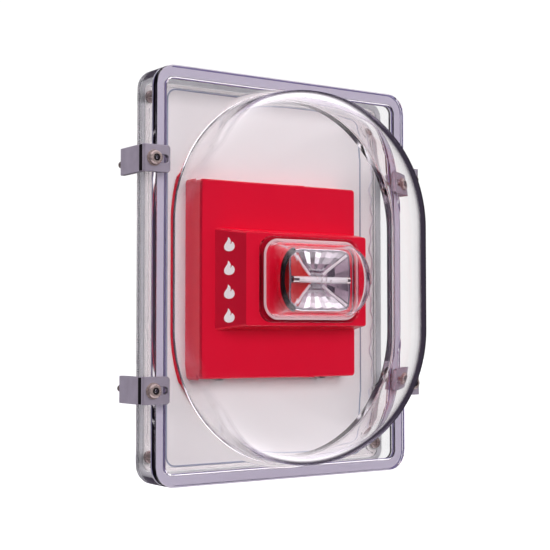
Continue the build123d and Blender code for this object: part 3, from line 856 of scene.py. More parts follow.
def tube_along(
    name: str, path: np.ndarray, radius: float, finish: Finishes, around: int = 12
) -> Piece:
    """A round wire along a path, closed at both ends.

    Each ring lies across the path's direction, spanned by the direction's cross products with a
    slowly turning reference, so that the wire doesn't twist.

    Args:
        name: the piece's name.
        path: (x, depth, z) points in millimetres.
        radius: wire radius.
        finish: what it is made of.
        around: points round the wire.

    Returns:
        The new object.
    """
    along = np.gradient(path, axis=0)
    along /= np.linalg.norm(along, axis=1, keepdims=True)
    guide = np.array([0.31, 0.87, 0.39])
    side = np.cross(along, guide)
    side /= np.linalg.norm(side, axis=1, keepdims=True)
    other = np.cross(along, side)
    swing = np.linspace(0, 2 * np.pi, around, endpoint=False)[None, :, None]
    rings = path[:, None] + radius * (side[:, None] * np.cos(swing) + other[:, None] * np.sin(swing))
    caps = [np.repeat(path[[i], None], around, 1) for i in (0, -1)]
    rings = np.concatenate([caps[0], rings, caps[1]])
    points = place(rings[..., 0], rings[..., 1], rings[..., 2]).reshape(*rings.shape)
    return loft_rings(name, points, finish)


def cord_round(
    name: str,
    half: tuple[float, float] | np.ndarray,
    corner: float,
    depth: float,
    radius: float,
    finish: Finishes,
    middle: tuple[float, float] = (0.0, 0.0),
    half_round: bool = False,
    around: int = 720,
) -> Piece:
    """A cord laid round a rounded rectangle: a circle, or its front half, carried round its reach.

    Args:
        name: the piece's name.
        half: half width and half height of the cord's middle line.
        corner: its corner radius.
        depth: its depth.
        radius: radius of the cord.
        finish: what it is made of.
        middle: (x, z) of the rectangle's middle.
        half_round: whether it is a bead, flat at its back.
        around: points along the cord.

    Returns:
        The new object.
    """
    angles = np.linspace(0, 2 * np.pi, around, endpoint=False)
    turns = np.linspace(0, np.pi, 9) if half_round else np.linspace(0, 2 * np.pi, 11)
    rings = []
    for turn in turns:
        shift = radius * math.cos(turn)
        reach = rectangle_reach(angles, half[0] + shift, half[1] + shift, corner + shift)
        x, z = middle[0] + reach * np.cos(angles), middle[1] + reach * np.sin(angles)
        rings.append(place(x, depth + radius * math.sin(turn), z))
    if half_round:
        rings.append(rings[0])
    return loft_rings(name, np.stack(rings), finish)


# ---------------------------------------------------------------- the clear cover and its frame
@dataclass
class ProtectiveCover:
    """Clear cover: a plate with a rim at its back and a tall obround dome, one moulding.

    Attributes:
        plate: thickness of the plate.
        rim: width of the rim round the plate's back.
        corner: corner radius of the plate.
        dome_radius: radius of the dome's two base arcs.
        dome_straight: half of the straight stretch between them.
        draft: slope of the dome's wall in degrees.
        shoulder: radius between the dome's wall and its crown.
        wall: thickness of the dome.
        root: radius between the plate and the dome's wall.
        shade_line: radius of the plate's front edge.
        stand: from the rim's back to the plate's front.
        arc_points: points on each of a ring's two arcs.
        side_points: points on each of its straight sides.
    """

    plate: float = 3.0
    rim: float = 7.0
    corner: float = 12.0
    dome_radius: float = 80.5
    dome_straight: float = 30.5
    draft: float = 2.0
    shoulder: float = 43.0
    wall: float = 2.5
    root: float = 3.0
    shade_line: float = 1.2
    stand: float = 5.0
    arc_points: int = 112
    side_points: int = 24

    def outline(self) -> tuple[np.ndarray, np.ndarray]:
        """The obround that the dome's rings follow.

        Returns:
            Points of its middle line and outward normals, one for each place on a ring.
        """
        arc = np.linspace(0, np.pi, self.arc_points)
        run = np.linspace(1, -1, self.side_points + 2)[1:-1]
        swing = np.concatenate([arc, np.full(run.size, np.pi), arc + np.pi, np.zeros(run.size)])
        height = np.concatenate([np.ones(arc.size), run, -np.ones(arc.size), -run])
        normal = np.stack([np.cos(swing), np.sin(swing)], 1)
        core = np.stack([np.zeros(height.size), height * self.dome_straight], 1)
        return core, normal

    def dome(self, base: float, front: float, radius: float, shoulder: float) -> np.ndarray:
        """Profile (radius, depth) of one face of the dome, from its base to its crown.

        Args:
            base: depth where the wall starts.
            front: depth of the crown.
            radius: base radius.
            shoulder: radius of the shoulder.

        Returns:
            The points, with the wall leaning in by the draft.
        """
        lean = (front - base) * math.tan(math.radians(self.draft))
        corners = [(radius, base), (radius - lean, front), (0.0, front)]
        profile = rounded_profile(corners, [0, shoulder, 0], steps=30)
        crown = np.linspace(profile[-2, 0], 0, 6)[1:]
        walls = np.linspace(profile[0], profile[1], 7)[:-1]
        return np.concatenate([walls, profile[1:-1], np.stack([crown, np.full(5, front)], 1)])

    def build(self) -> Piece:
        """The whole cover as one skin.

        Its rings run down the inner dome, over the plate's back and the rim, round the edge, over
        the plate's front and up the outer dome.

        Returns:
            The cover.
        """
        low, high = span("front_cover")
        back, crown = low[1], high[1]
        half = high[[0, 2]]
        core, normal = self.outline()
        face = back + self.stand
        foot = core + normal * self.dome_radius
        angles = np.arctan2(foot[:, 1], foot[:, 0])

        def dome_ring(radius: float, depth: float) -> np.ndarray:
            """Ring at this radius of the obround."""
            at = core + normal * radius
            return place(at[:, 0], depth, at[:, 1])

        def plate_ring(inset: float, depth: float) -> np.ndarray:
            """Ring at this inset of the plate's edge."""
            reach = rectangle_reach(angles, half[0] - inset, half[1] - inset, self.corner - inset)
            return place(reach * np.cos(angles), depth, reach * np.sin(angles))

        inner = self.dome(back, crown - self.wall, self.dome_radius - self.wall, self.shoulder - self.wall)
        rings = [dome_ring(*point) for point in inner[::-1]]
        plate_back = face - self.plate
        rings[-1] = dome_ring(self.dome_radius - self.wall - 0.05, plate_back)
        step = [(self.rim + 0.2, plate_back), (self.rim, plate_back - 0.2), (self.rim, back + 0.3)]
        step += [(self.rim - 0.3, back), (0.3, back), (0.0, back + 0.3)]
        rings += [plate_ring(*point) for point in step]
        quarter = np.linspace(0, np.pi / 2, 7)
        rings += [
            plate_ring(self.shade_line * (1 - math.cos(q)), face - self.shade_line * (1 - math.sin(q))) for q in quarter
        ]
        rings.append(plate_ring(self.shade_line + 0.4, face))
        bend = np.linspace(0, np.pi / 2, 8)
        out = self.dome_radius + self.root
        rings.append(dome_ring(out + 0.3, face))
        rings += [
            dome_ring(out - self.root * math.sin(b), face + self.root * (1 - math.cos(b))) for b in bend
        ]
        outer = self.dome(face, crown, self.dome_radius, self.shoulder)
        lowest = face + self.root + 0.3
        rings += [dome_ring(r, d) for r, d in outer if d > lowest]
        rings = self.keep_inside(rings, half)
        piece = loft_rings("front_cover_shell", np.stack(rings), Finishes.COVER)
        return settle(piece, COVER, Finishes.COVER, "front_cover")

    def keep_inside(self, rings: list[np.ndarray], half: np.ndarray) -> list[np.ndarray]:
        """Keep every ring inside the plate's outside, where the dome's root comes near its edge.

        Args:
            rings: the rings' points in metres.
            half: half width and half height of the plate in millimetres.

        Returns:
            The rings.
        """
        limit = half * MM
        for ring in rings:
            ring[:, 0] = np.clip(ring[:, 0], -limit[0], limit[0])
            ring[:, 2] = np.clip(ring[:, 2], -limit[1], limit[1])
        return rings


@dataclass
class CoverFrame:
    """Clear frame behind the cover, its two seals, the clamps and all their screws and washers.

    Attributes:
        moulding_edge: radius of the moulded pieces' edges.
        metal_edge: radius of the screws' edges.
        seal_corner: corner radius of its outside.
        seal_cord: radius of the dark cords of painted shade along its edges.
        seal_insets: how far in from its outside the outer and the inner cord lie.
        seal_share: share of its thickness that the clear seal keeps.
        screw_place: distance of the clamps' screws from the middle, along X and Z.
        recess: radius of the black disc of painted shade in the recess of their heads.
        recess_edge: radius of the edge of that disc and of the glint.
        bend_shade: where the black strip of painted shade at a clamp's bend starts and ends, behind its
            front.
    """

    moulding_edge: float = 0.5
    metal_edge: float = 0.18
    seal_corner: float = 11.0
    seal_cord: float = 0.42
    seal_insets: tuple[float, float] = (-0.45, 6.0)
    seal_share: float = 0.86
    screw_place: tuple[float, float] = (94.5, 65.0)
    recess: float = 2.1
    recess_edge: float = 0.05
    bend_shade: tuple[float, float] = (1.9, 5.6)

    def build(self) -> list[Piece]:
        """Frame, seals, clamps and screws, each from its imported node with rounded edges.

        Returns:
            Its pieces.
        """
        pieces = [self.soft("back_frame", WALL, Finishes.FRAME, self.moulding_edge)]
        seal = self.soft("cover_seal", WALL, Finishes.SEAL, 0.2)
        self.free_faces(seal, "cover_seal")
        pieces.append(seal)
        pieces.append(self.soft("wall_seal", WALL, Finishes.FOAM, 0.3))
        for clamp in CLAMPS:
            piece = self.soft(clamp, clamp, Finishes.CLAMP, 0.4)
            # Faces turned to ±X get the lighter copy of the clamp metal: painted light.
            refinish(piece, Finishes.LIT_CLAMP_FACES, lambda normal: np.abs(normal[:, 0]) > 0.9)
            # Each clamp also gets a black strip of painted shade at its bend.
            pieces += [piece, self.bend_shade_at(clamp)]
        # Black discs of painted shade in the screw heads, and dark cords of painted shade along the seal's
        # edges.
        pieces += self.screw_head_shades() + self.seal_shade_lines()
        pieces.append(self.soft("clamp_screws", COVER, Finishes.STAINLESS, self.metal_edge))
        pieces.append(self.soft("clamp_washers", COVER, Finishes.STAINLESS, 0.12))
        pieces.append(self.soft("frame_screws", WALL, Finishes.STAINLESS, self.metal_edge))
        return pieces

    def free_faces(self, seal: Piece, node: str) -> None:
        """Draw a clear seal in from the faces that it lies on, because light needs a gap between them.

        Every point's depth goes to the middle plus a share of its distance from the middle.

        Args:
            seal: the seal's piece.
            node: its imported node.
        """
        low, high = span(node)
        middle = -(low[1] + high[1]) / 2 * MM
        points = np.zeros(3 * len(seal.data.vertices))
        seal.data.vertices.foreach_get("co", points)
        points[1::3] = middle + (points[1::3] - middle) * self.seal_share
        seal.data.vertices.foreach_set("co", points)

    def seal_shade_lines(self) -> list[Piece]:
        """Dark cords along the cover seal's outer and inner edge: painted shade for the dark lines at the
        clear edges.

        Returns:
            The two cords.
        """
        low, high = span("cover_seal")
        half = (high - low)[[0, 2]] / 2
        depth = (low[1] + high[1]) / 2
        pieces = []
        for side, inset in zip(("outer", "inner"), self.seal_insets):
            name, corner = f"cover_seal_{side}_edge", self.seal_corner - inset
            cord = cord_round(name, half - inset, corner, depth, self.seal_cord, Finishes.SEAL_LINE_SHADE)
            pieces.append(settle(cord, WALL, Finishes.SEAL_LINE_SHADE))
        return pieces

    def bend_shade_at(self, clamp: str) -> Piece:
        """Black strip of painted shade across the outer face of a clamp's riser, just behind its bend, where
        shade falls.

        Args:
            clamp: the clamp's node.

        Returns:
            The strip of painted shade.
        """
        low, high = span(clamp)
        outer = low[0] if low[0] < 0 else high[0]
        x = outer + np.array([-0.1, 0.02, 0.02, -0.1]) * math.copysign(1, outer)
        near, far = self.bend_shade
        depth = high[1] - np.array([near, near, far, far])
        rings = [(x, depth, z) for z in (low[2] + 0.3, high[2] - 0.3)]
        middle = (np.full(4, x.mean()), np.full(4, depth.mean()))
        rings = [(*middle, rings[0][2]), *rings, (*middle, rings[1][2])]
        skin = np.stack([place(*ring) for ring in rings])
        piece = loft_rings(f"{clamp}_groove", skin, Finishes.BLACK_AND_SHADE)
        return settle(piece, clamp, Finishes.BLACK_AND_SHADE)

    def screw_head_shades(self) -> list[Piece]:
        """Black disc of painted shade in the recess of every clamp screw's head, with a polished bottom.

        Returns:
            The discs of painted shade and their bottoms.
        """
        _, high = span("clamp_screws")
        pieces = []
        sides = [(x, z) for x in (-1, 1) for z in (-1, 1)]
        for number, (side_x, side_z) in enumerate(sides, 1):
            x, z = side_x * self.screw_place[0], side_z * self.screw_place[1]
            for name, finish, radius, front in (
                ("screw_head_shade", Finishes.BLACK_AND_SHADE, self.recess, 0.06),
                ("screw_glint", Finishes.CHROME, self.recess * 0.4, 0.12),
            ):
                shade_line = self.recess_edge
                side = [(0.0, 0.0), (0.0, radius), (front - shade_line, radius)]
                profile = np.array([*side, (front, radius - shade_line), (front, 0.0)])
                start = (x, high[1] - 0.02, z)
                disc = turned(f"{name}_{number}", profile, start, "depth", finish, 32)
                pieces.append(settle(disc, COVER, finish))
        return pieces

    def soft(self, node: str, body: str, finish: Finishes, width: float) -> Piece:
        """One node's rounded copy, riding on its body."""
        return finished(node, body, finish, width, "rounded")


# ---------------------------------------------------------------- the red unit
@dataclass
class AlarmUnit:
    """Red housing with its marks, the plate behind it and the bracket that holds it.

    Attributes:
        bead_half: half width and half height of the dark bead's middle line.
        bead_corner: its corner radius.
        bead_radius: radius of its section.
        wave_out: from the bead to the pale wavy line beside it.
        wave_short: how much shorter than the bead it is at each end.
        wave_radius: radius of its section.
        wave_sines: height, pitch and start of each sine in it.
    """

    bead_half: tuple[float, float] = (72.0, 110.5)
    bead_corner: float = 6.0
    bead_radius: float = 0.5
    wave_out: float = 9.0
    wave_short: float = 4.0
    wave_radius: float = 0.6
    wave_sines: tuple[tuple[float, float, float], ...] = ((0.9, 5.3, 0.0), (0.8, 2.1, 1.0))

    def build(self) -> list[Piece]:
        """Housing, marks, back plate, bracket and screws.

        Returns:
            Its pieces, with the dark bead and the pale wavy line on the plate.
        """
        pieces = []
        for node, finish, width in (
            ("housing", Finishes.RED, 0.35),
            ("flame_marks", Finishes.INK, 0.08),
            ("back_plate", Finishes.PLATE, 0.3),
            ("mounting_bracket", Finishes.GALVANISED, 0.2),
            ("housing_screws", Finishes.ZINC, 0.15),
        ):
            piece = finished(node, WALL, finish, width)
            pieces.append(piece)
            if node == "housing":
                # The ramp's faces take the darker red: painted shade.
                refinish(piece, Finishes.RAMP_PAINTED_SHADE, self.on_ramp)
        return [*pieces, self.bead(), self.wavy_line()]

    @staticmethod
    def on_ramp(normal: np.ndarray) -> np.ndarray:
        """Which faces lie on the ramp, which takes the darker red of painted shade: they lean to the left
        and to the front.
        """
        return (normal[:, 0] < -0.15) & (normal[:, 1] < -0.3) & (np.abs(normal[:, 2]) < 0.2)

    def wavy_line(self) -> Piece:
        """Pale wavy line down the plate's right side: two sines added to a straight line.

        Returns:
            The line.
        """
        _, high = span("back_plate")
        reach = self.bead_half[1] - self.wave_short
        z = np.linspace(-reach, reach, 240)
        x = self.bead_half[0] + self.wave_out
        for height, pitch, start in self.wave_sines:
            x = x + height * np.sin(z / pitch + start)
        path = np.stack([x, np.full(z.size, high[1] + 0.1), z], 1)
        run = tube_along("plate_pale_wave", path, self.wave_radius, Finishes.PLATE_WAVE)
        return settle(run, WALL, Finishes.PLATE_WAVE)

    def bead(self) -> Piece:
        """Dark half-round bead on the plate, round a rounded rectangle.

        Returns:
            The bead.
        """
        _, high = span("back_plate")
        bead = cord_round(
            "plate_dark_line",
            self.bead_half,
            self.bead_corner,
            high[1] - 0.05,
            self.bead_radius,
            Finishes.PLATE_LINE,
            half_round=True,
        )
        return settle(bead, WALL, Finishes.PLATE_LINE)


# ---------------------------------------------------------------- the strobe
@dataclass
class StrobeLens:
    """Clear arched lens with a flat flange, the pale bead of painted highlight round its foot and the seal
    under it.

    Attributes:
        length: of the arch along X.
        height: of the arch along Z.
        wall: thickness of the arch.
        end_round: radius between the arch and its ends.
        flange: thickness of the flange.
        flange_corner: corner radius of the flange.
        flange_edge: radius of the flange's front edge.
        foot_bead: radius of the bead of painted highlight round the arch's foot.
        foot_gap: from the arch to the bead's middle line.
        end_rows: rows in each end's round.
        rows: rows in all.
        columns: points in a row.
    """

    length: float = 67.0
    height: float = 45.6
    wall: float = 2.0
    end_round: float = 9.0
    flange: float = 2.6
    flange_corner: float = 8.5
    flange_edge: float = 0.8
    foot_bead: float = 0.9
    foot_gap: float = 0.3
    end_rows: int = 14
    rows: int = 60
    columns: int = 65

    def arch(self, inset: float, cut: float, base: float, rise: float) -> np.ndarray:
        """Grid over the arch: rows along X, columns round the half ellipse.

        Near an end the section shrinks as the end's round does: at a distance e from the end it is
        smaller by r - sqrt(r^2 - (r - e)^2). The first and last rows lie along the end's foot.

        Args:
            inset: how much smaller than the outside.
            cut: height over the base where the grid stops.
            base: depth of the base.
            rise: height of the arch over the base.

        Returns:
            (x, depth, z) of shape (rows, columns, 3), centred on the lens.
        """
        radius = self.end_round - inset
        half = self.length / 2 - inset
        turn = np.linspace(0, np.pi / 2, self.end_rows)
        end = half - radius + radius * np.cos(turn)
        shrink = radius - radius * np.sin(turn)
        middle = np.linspace(half - radius, -(half - radius), self.rows - 2 * self.end_rows)[1:-1]
        x = np.concatenate([end, middle, -end[::-1]])
        smaller = np.concatenate([shrink, np.zeros(middle.size), shrink[::-1]]) + inset
        high, wide = rise - smaller, self.height / 2 - smaller
        start = np.arcsin(np.clip(cut / high, 0, 1))
        share = np.linspace(0, 1, self.columns)[None]
        angle = start[:, None] + share * (np.pi - 2 * start[:, None])
        z, up = wide[:, None] * np.cos(angle), high[:, None] * np.sin(angle)
        grid = np.stack([np.repeat(x[:, None], self.columns, 1), base + up, z], -1)
        foot = grid[[0, -1]].copy()
        foot[..., 1] = base + cut
        return np.concatenate([foot[:1], grid, foot[1:]])

    @staticmethod
    def rim(grid: np.ndarray) -> np.ndarray:
        """The grid's border as one loop of points."""
        return np.concatenate([grid[0, :-1], grid[:-1, -1], grid[-1, :0:-1], grid[:0:-1, 0]])

    def build(self) -> list[Piece]:
        """The lens as one closed skin, and its seal.

        Returns:
            Lens, seal and the bead of painted highlight.
        """
        low, high = span("strobe_lens")
        middle = (low + high) / 2
        base = low[1]
        rise = high[1] - base
        half = (high - low)[[0, 2]] / 2
        outer = self.arch(0.0, self.flange, base, rise)
        inner = self.arch(self.wall, 0.0, base, rise)
        outer_rim, inner_rim = self.rim(outer), self.rim(inner)
        angles = np.arctan2(outer_rim[:, 2], outer_rim[:, 0])

        def flange_ring(inset: float, depth: float) -> np.ndarray:
            """Ring round the flange.

            Args:
                inset: how far in from the flange's edge.
                depth: its depth.

            Returns:
                (x, depth, z) of its points, centred on the lens.
            """
            reach = rectangle_reach(angles, half[0] - inset, half[1] - inset, self.flange_corner - inset)
            flat = np.full(angles.size, depth)
            return np.stack([reach * np.cos(angles), flat, reach * np.sin(angles)], -1)

        top = base + self.flange
        quarter = np.linspace(0, np.pi / 2, 6)
        shade_line = self.flange_edge
        round_edge = [flange_ring(shade_line * (1 - math.sin(q)), top - shade_line * (1 - math.cos(q))) for q in quarter]
        bands = [outer_rim, *round_edge, flange_ring(0.0, base + 0.2), flange_ring(0.2, base), inner_rim]
        loops = np.stack(bands)
        rows, columns = outer.shape[:2]
        sheet = grid_faces(rows, columns, False, False)
        band = grid_faces(len(bands), loops.shape[1], False, True)
        size = rows * columns
        faces = np.concatenate([sheet, sheet[:, ::-1] + size, band[:, ::-1] + 2 * size])
        points = np.concatenate([part.reshape(-1, 3) for part in (outer, inner, loops)])
        points += np.array([middle[0], 0, middle[2]])
        placed = place(points[:, 0], points[:, 1], points[:, 2])
        lens = make_piece("strobe_lens_clear", placed, faces, Finishes.LENS.value)
        self.align(lens)
        foot = self.foot(middle, top)
        return [
            settle(lens, WALL, Finishes.LENS, "strobe_lens"),
            finished("lens_seal", WALL, Finishes.LENS_SEAL, 0.1, "rubber"),
            settle(foot, WALL, Finishes.LENS_FOOT_HIGHLIGHT),
        ]

    def foot(self, middle: np.ndarray, top: float) -> Piece:
        """Pale bead round the arch's foot: painted highlight.

        Args:
            middle: (x, depth, z) of the lens' middle.
            top: depth of the flange's front.

        Returns:
            The bead.
        """
        gap = self.foot_gap
        return cord_round(
            "lens_highlight_bead",
            (self.length / 2 + gap, self.height / 2 + gap),
            self.end_round + gap,
            top - 0.02,
            self.foot_bead,
            Finishes.LENS_FOOT_HIGHLIGHT,
            middle=(middle[0], middle[2]),
            half_round=True,
            around=360,
        )

    @staticmethod
    def align(lens: Piece) -> None:
        """Turn every face of the joined skin the same way, outwards.

        Args:
            lens: the lens.
        """
        shape = bmesh.new()
        shape.from_mesh(lens.data)
        bmesh.ops.recalc_face_normals(shape, faces=shape.faces)
        if shape.calc_volume(signed=True) < 0:
            bmesh.ops.reverse_faces(shape, faces=shape.faces)
        shape.to_mesh(lens.data)
        shape.free()


@dataclass
class Reflector:
    """Chrome reflector: a tub whose faceted sides fall to a slot, its ridges of painted highlight and the
    rib beside it.

    Attributes:
        mouth_lip: width of the flat lip round the mouth.
        slot: half length and half height of the slot at the bottom.
        floor: height of the slot over the reflector's back.
        facets: facets along the long sides, along the short sides.
        corner: corner radius of the outside.
        mouth_gap: from the lip to the mouth's own outline.
        shares: share of the way up from the slot, for each ring of facets.
        fall: power of the share that gives a ring's depth.
        pinch: how far the middle of a facet stands out at the mouth.
        crease: how much of each side the mouth's corners take.
        crease_width: width of the soft edges between facets.
        crease_turn: degrees that two facets turn where they get one.
        red_reach: how high over the back the faces beside the red wall have its reflection painted on.
        red_spread: how fast that patch widens towards the mouth.
        ridge_run: share of the way up from the slot where a ridge starts, and where it ends.
        ridge: radius of the ridges, pale tubes of painted highlight.
        rib_cap: thickness of the rib's black cap.
        rib_shift: how far the rib is moved in from its bow.
        rib_bow: how far the rib bows out.
        rib_short: how much shorter than the reflector's height its chord is.
        rib_halves: half the thickness of its red wall and of its cap.
    """

    mouth_lip: float = 1.2
    slot: tuple[float, float] = (3.0, 1.6)
    floor: float = 1.4
    facets: tuple[int, int] = (4, 2)
    corner: float = 6.0
    mouth_gap: float = 0.8
    shares: tuple[float, ...] = (1.0, 0.8, 0.55, 0.28, 0.0)
    fall: float = 1.5
    pinch: float = 0.8
    crease: float = 2.4
    crease_width: float = 0.22
    crease_turn: float = 12.0
    red_reach: float = 7.0
    red_spread: float = 0.95
    ridge_run: tuple[float, float] = (0.12, 0.97)
    ridge: float = 0.85
    rib_cap: float = 2.6
    rib_shift: float = 3.2
    rib_bow: float = 8.0
    rib_short: float = 1.0
    rib_halves: tuple[float, float] = (0.7, 1.15)

    def build(self) -> list[Piece]:
        """The reflector, the black rib round its left end and the ridges of painted highlight."""
        return [self.tub(), *self.rib(), *self.ridges()]

    def sizes(self, share: np.ndarray) -> tuple[np.ndarray, np.ndarray]:
        """Half width and half height, and depth, of a ring of facets.

        The size goes evenly from the slot's to the mouth's. The depth rises from the floor as the
        share to the power of the fall, which lies between a straight slope and a parabola.

        Args:
            share: share of the way up from the slot; one row for each ring.

        Returns:
            Half sizes, one row for each ring, and depths.
        """
        low, high = span("reflector")
        mouth = (high - low)[[0, 2]] / 2 - self.mouth_lip - self.mouth_gap
        half = mouth * share[:, None] + np.array(self.slot) * (1 - share)[:, None]
        return half, low[1] + self.floor + (high[1] - low[1] - self.floor) * share**self.fall

    def rectangle(self, half_width: float, half_height: float, pinch: float, cut: float = 0.0) -> np.ndarray:
        """Points round a rectangle with its corners cut off, whose facets' middles are pushed out.

        Args:
            half_width: half of the width.
            half_height: half of the height.
            pinch: how far the middle of each facet stands out.
            cut: how much of each side its corners take.

        Returns:
            The points (x, z).
        """
        long, short = self.facets
        run = np.linspace(-1, 1, 2 * long + 1)
        rise = np.linspace(-1, 1, 2 * short + 1)
        bulge_long = pinch * (np.arange(run.size) % 2)
        bulge_short = pinch * (np.arange(rise.size) % 2)
        wide, high = half_width - cut, half_height - cut
        sides = [
            np.stack([run * wide, half_height + bulge_long], 1),
            np.stack([half_width + bulge_short, -rise * high], 1),
            np.stack([-run * wide, -half_height - bulge_long], 1),
            np.stack([-half_width - bulge_short, rise * high], 1),
        ]
        return np.concatenate(sides)

    def tub(self) -> Piece:
        """Rings of rectangles from the outside over the lip and down to the slot.

        Returns:
            The tub, with the red wall's reflection painted in red on the faces beside it.
        """
        low, high = span("reflector")
        middle = (low + high) / 2
        half = (high - low)[[0, 2]] / 2
        outside = self.rectangle(half[0] - 0.4, half[1] - 0.4, 0.0, 2.0)
        angles = np.arctan2(outside[:, 1], outside[:, 0])
        reach = rectangle_reach(angles, half[0], half[1], self.corner)
        ring = np.stack([np.cos(angles), np.sin(angles)], 1) * reach[:, None]
        lip_ring = ring * (1 - 0.5 / reach[:, None])
        layers = [(ring * 0, low[1]), (ring, low[1]), (ring, high[1] - 0.3), (lip_ring, high[1])]
        for share, size, depth in zip(self.shares, *self.sizes(np.array(self.shares))):
            ring_at = self.rectangle(*size, self.pinch * share, self.crease * share + 0.15)
            layers.append((ring_at, depth - (0.02 if share == 1.0 else 0)))
        layers.append((ring_at * 0, low[1] + self.floor))
        rings = np.stack([place(at[:, 0] + middle[0], d, at[:, 1] + middle[2]) for at, d in layers])
        piece = loft_rings("reflector_chromed", rings, Finishes.CHROME)
        flat = np.zeros(len(piece.data.polygons), bool)
        piece.data.polygons.foreach_set("use_smooth", flat)
        piece.data.materials.append(Finishes.CHROME_RED_REFLECTION.value.material())
        centres = np.zeros(3 * flat.size)
        piece.data.polygons.foreach_get("center", centres)
        x, y, z = (centres.reshape(-1, 3) / MM - [middle[0], -low[1], middle[2]]).T
        # Faces beside the red wall get its reflection painted on in red.
        low_down = (-y > self.floor) & (-y < self.red_reach)
        beside = (-x - self.slot[0] > np.abs(z) * self.red_spread) & low_down
        piece.data.polygons.foreach_set("material_index", beside.astype(np.int32))
        bevel = piece.modifiers.new("soft_creases", "BEVEL")
        bevel.width, bevel.segments = self.crease_width * MM, 2
        bevel.limit_method, bevel.angle_limit = "ANGLE", math.radians(self.crease_turn)
        bevel.harden_normals = False
        return settle(piece, WALL, Finishes.CHROME, "reflector")

    def ridges(self) -> list[Piece]:
        """Pale ridges of painted highlight where the reflector's faces meet, from its corners to the slot's
        ends.

        A ridge runs straight in plan, and its depth falls as the faces' does.

        Returns:
            The four ridges.
        """
        low, high = span("reflector")
        middle = (low + high) / 2
        share = np.linspace(*self.ridge_run, 24)
        half, depth = self.sizes(share)
        half = half - self.crease * share[:, None] / 4
        depth = depth + self.ridge * 0.3
        pieces = []
        for number, (side_x, side_z) in enumerate(((-1, 1), (-1, -1), (1, 1), (1, -1)), 1):
            path = np.stack([middle[0] + side_x * half[:, 0], depth, middle[2] + side_z * half[:, 1]], 1)
            ridge = tube_along(f"reflector_crease_highlight_{number}", path, self.ridge, Finishes.CREASE_HIGHLIGHT)
            pieces.append(settle(ridge, WALL, Finishes.CREASE_HIGHLIGHT))
        return pieces

    def rib(self) -> list[Piece]:
        """C-shaped wall on the block, bowed out past the reflector's left end, with a black cap.

        Its middle line is an arc of chord c and bow b, so its radius is (c^2 / 4 + b^2) / 2b.

        Returns:
            The red wall and the cap.
        """
        low, high = span("reflector")
        middle_z = (low[2] + high[2]) / 2
        chord, bow = (high[2] - low[2]) - self.rib_short, self.rib_bow
        radius = (chord**2 / 4 + bow**2) / (2 * bow)
        reach = math.asin(chord / 2 / radius)
        swing = np.linspace(-reach, reach, 49)
        centre = low[0] - bow + radius + self.rib_shift
        parts = []
        cap_foot = high[1] - self.rib_cap
        for name, finish, foot, top, half in (
            ("reflector_bay", Finishes.RED, low[1] + 0.02, cap_foot, self.rib_halves[0]),
            ("reflector_rib", Finishes.BLACK_AND_SHADE, cap_foot, high[1] + 0.4, self.rib_halves[1]),
        ):
            section = rounded_profile(
                [(-half, foot), (half, foot), (half, top), (-half, top)],
                [0, 0, 0.6, 0.6],
                steps=4,
                closed=True,
            )
            out = radius + section[:, 0][None]
            x = centre - out * np.cos(swing)[:, None]
            z = middle_z + out * np.sin(swing)[:, None]
            rings = place(x, np.broadcast_to(section[:, 1], x.shape), z).reshape(*x.shape, 3)
            caps = [np.repeat(rings[[i]].mean(1, keepdims=True), rings.shape[1], 1) for i in (0, -1)]
            piece = loft_rings(name, np.concatenate([caps[0], rings, caps[1]]), finish)
            parts.append(settle(piece, WALL, finish))
        return parts


@dataclass
class FlashTube:
    """Glass flash tube with its electrodes and the trigger wire round it.

    Attributes:
        wall: thickness of the glass.
        wire: radius of the trigger wire.
        turns: turns of the wire.
        shade_line: radius of the glass' edges.
    """

    wall: float = 0.6
    wire: float = 0.22
    turns: int = 3
    shade_line: float = 0.25

    def build(self) -> list[Piece]:
        """Tube, electrodes and wire.

        Returns:
            The three pieces.
        """
        low, high = span("flash_tube")
        middle = (low + high) / 2
        radius, length = (high[2] - low[2]) / 2, high[0] - low[0]
        section = rounded_profile(
            [(0, radius - self.wall), (0, radius), (length, radius), (length, radius - self.wall)],
            [self.shade_line] * 4,
            closed=True,
        )
        section = np.concatenate([section, section[:1]])
        start = (low[0], middle[1], middle[2])
        glass = turned("flash_tube_glass", section, start, "x", Finishes.TUBE)
        electrodes = finished("tube_electrodes", WALL, Finishes.NICKEL, 0.12, "plated")
        wire_low, wire_high = span("trigger_wire")
        reach = (wire_low[0] + self.wire, wire_high[0] - self.wire)
        turn = np.linspace(0, 2 * np.pi * self.turns, 48 * self.turns)
        helix = np.stack(
            [
                np.linspace(*reach, turn.size),
                middle[1] + (radius + self.wire) * np.cos(turn),
                middle[2] + (radius + self.wire) * np.sin(turn),
            ],
            1,
        )
        wire = tube_along("trigger_wire_wound", helix, self.wire, Finishes.NICKEL)
        return [
            settle(glass, WALL, Finishes.TUBE, "flash_tube"),
            electrodes,
            settle(wire, WALL, Finishes.NICKEL, "trigger_wire"),
        ]


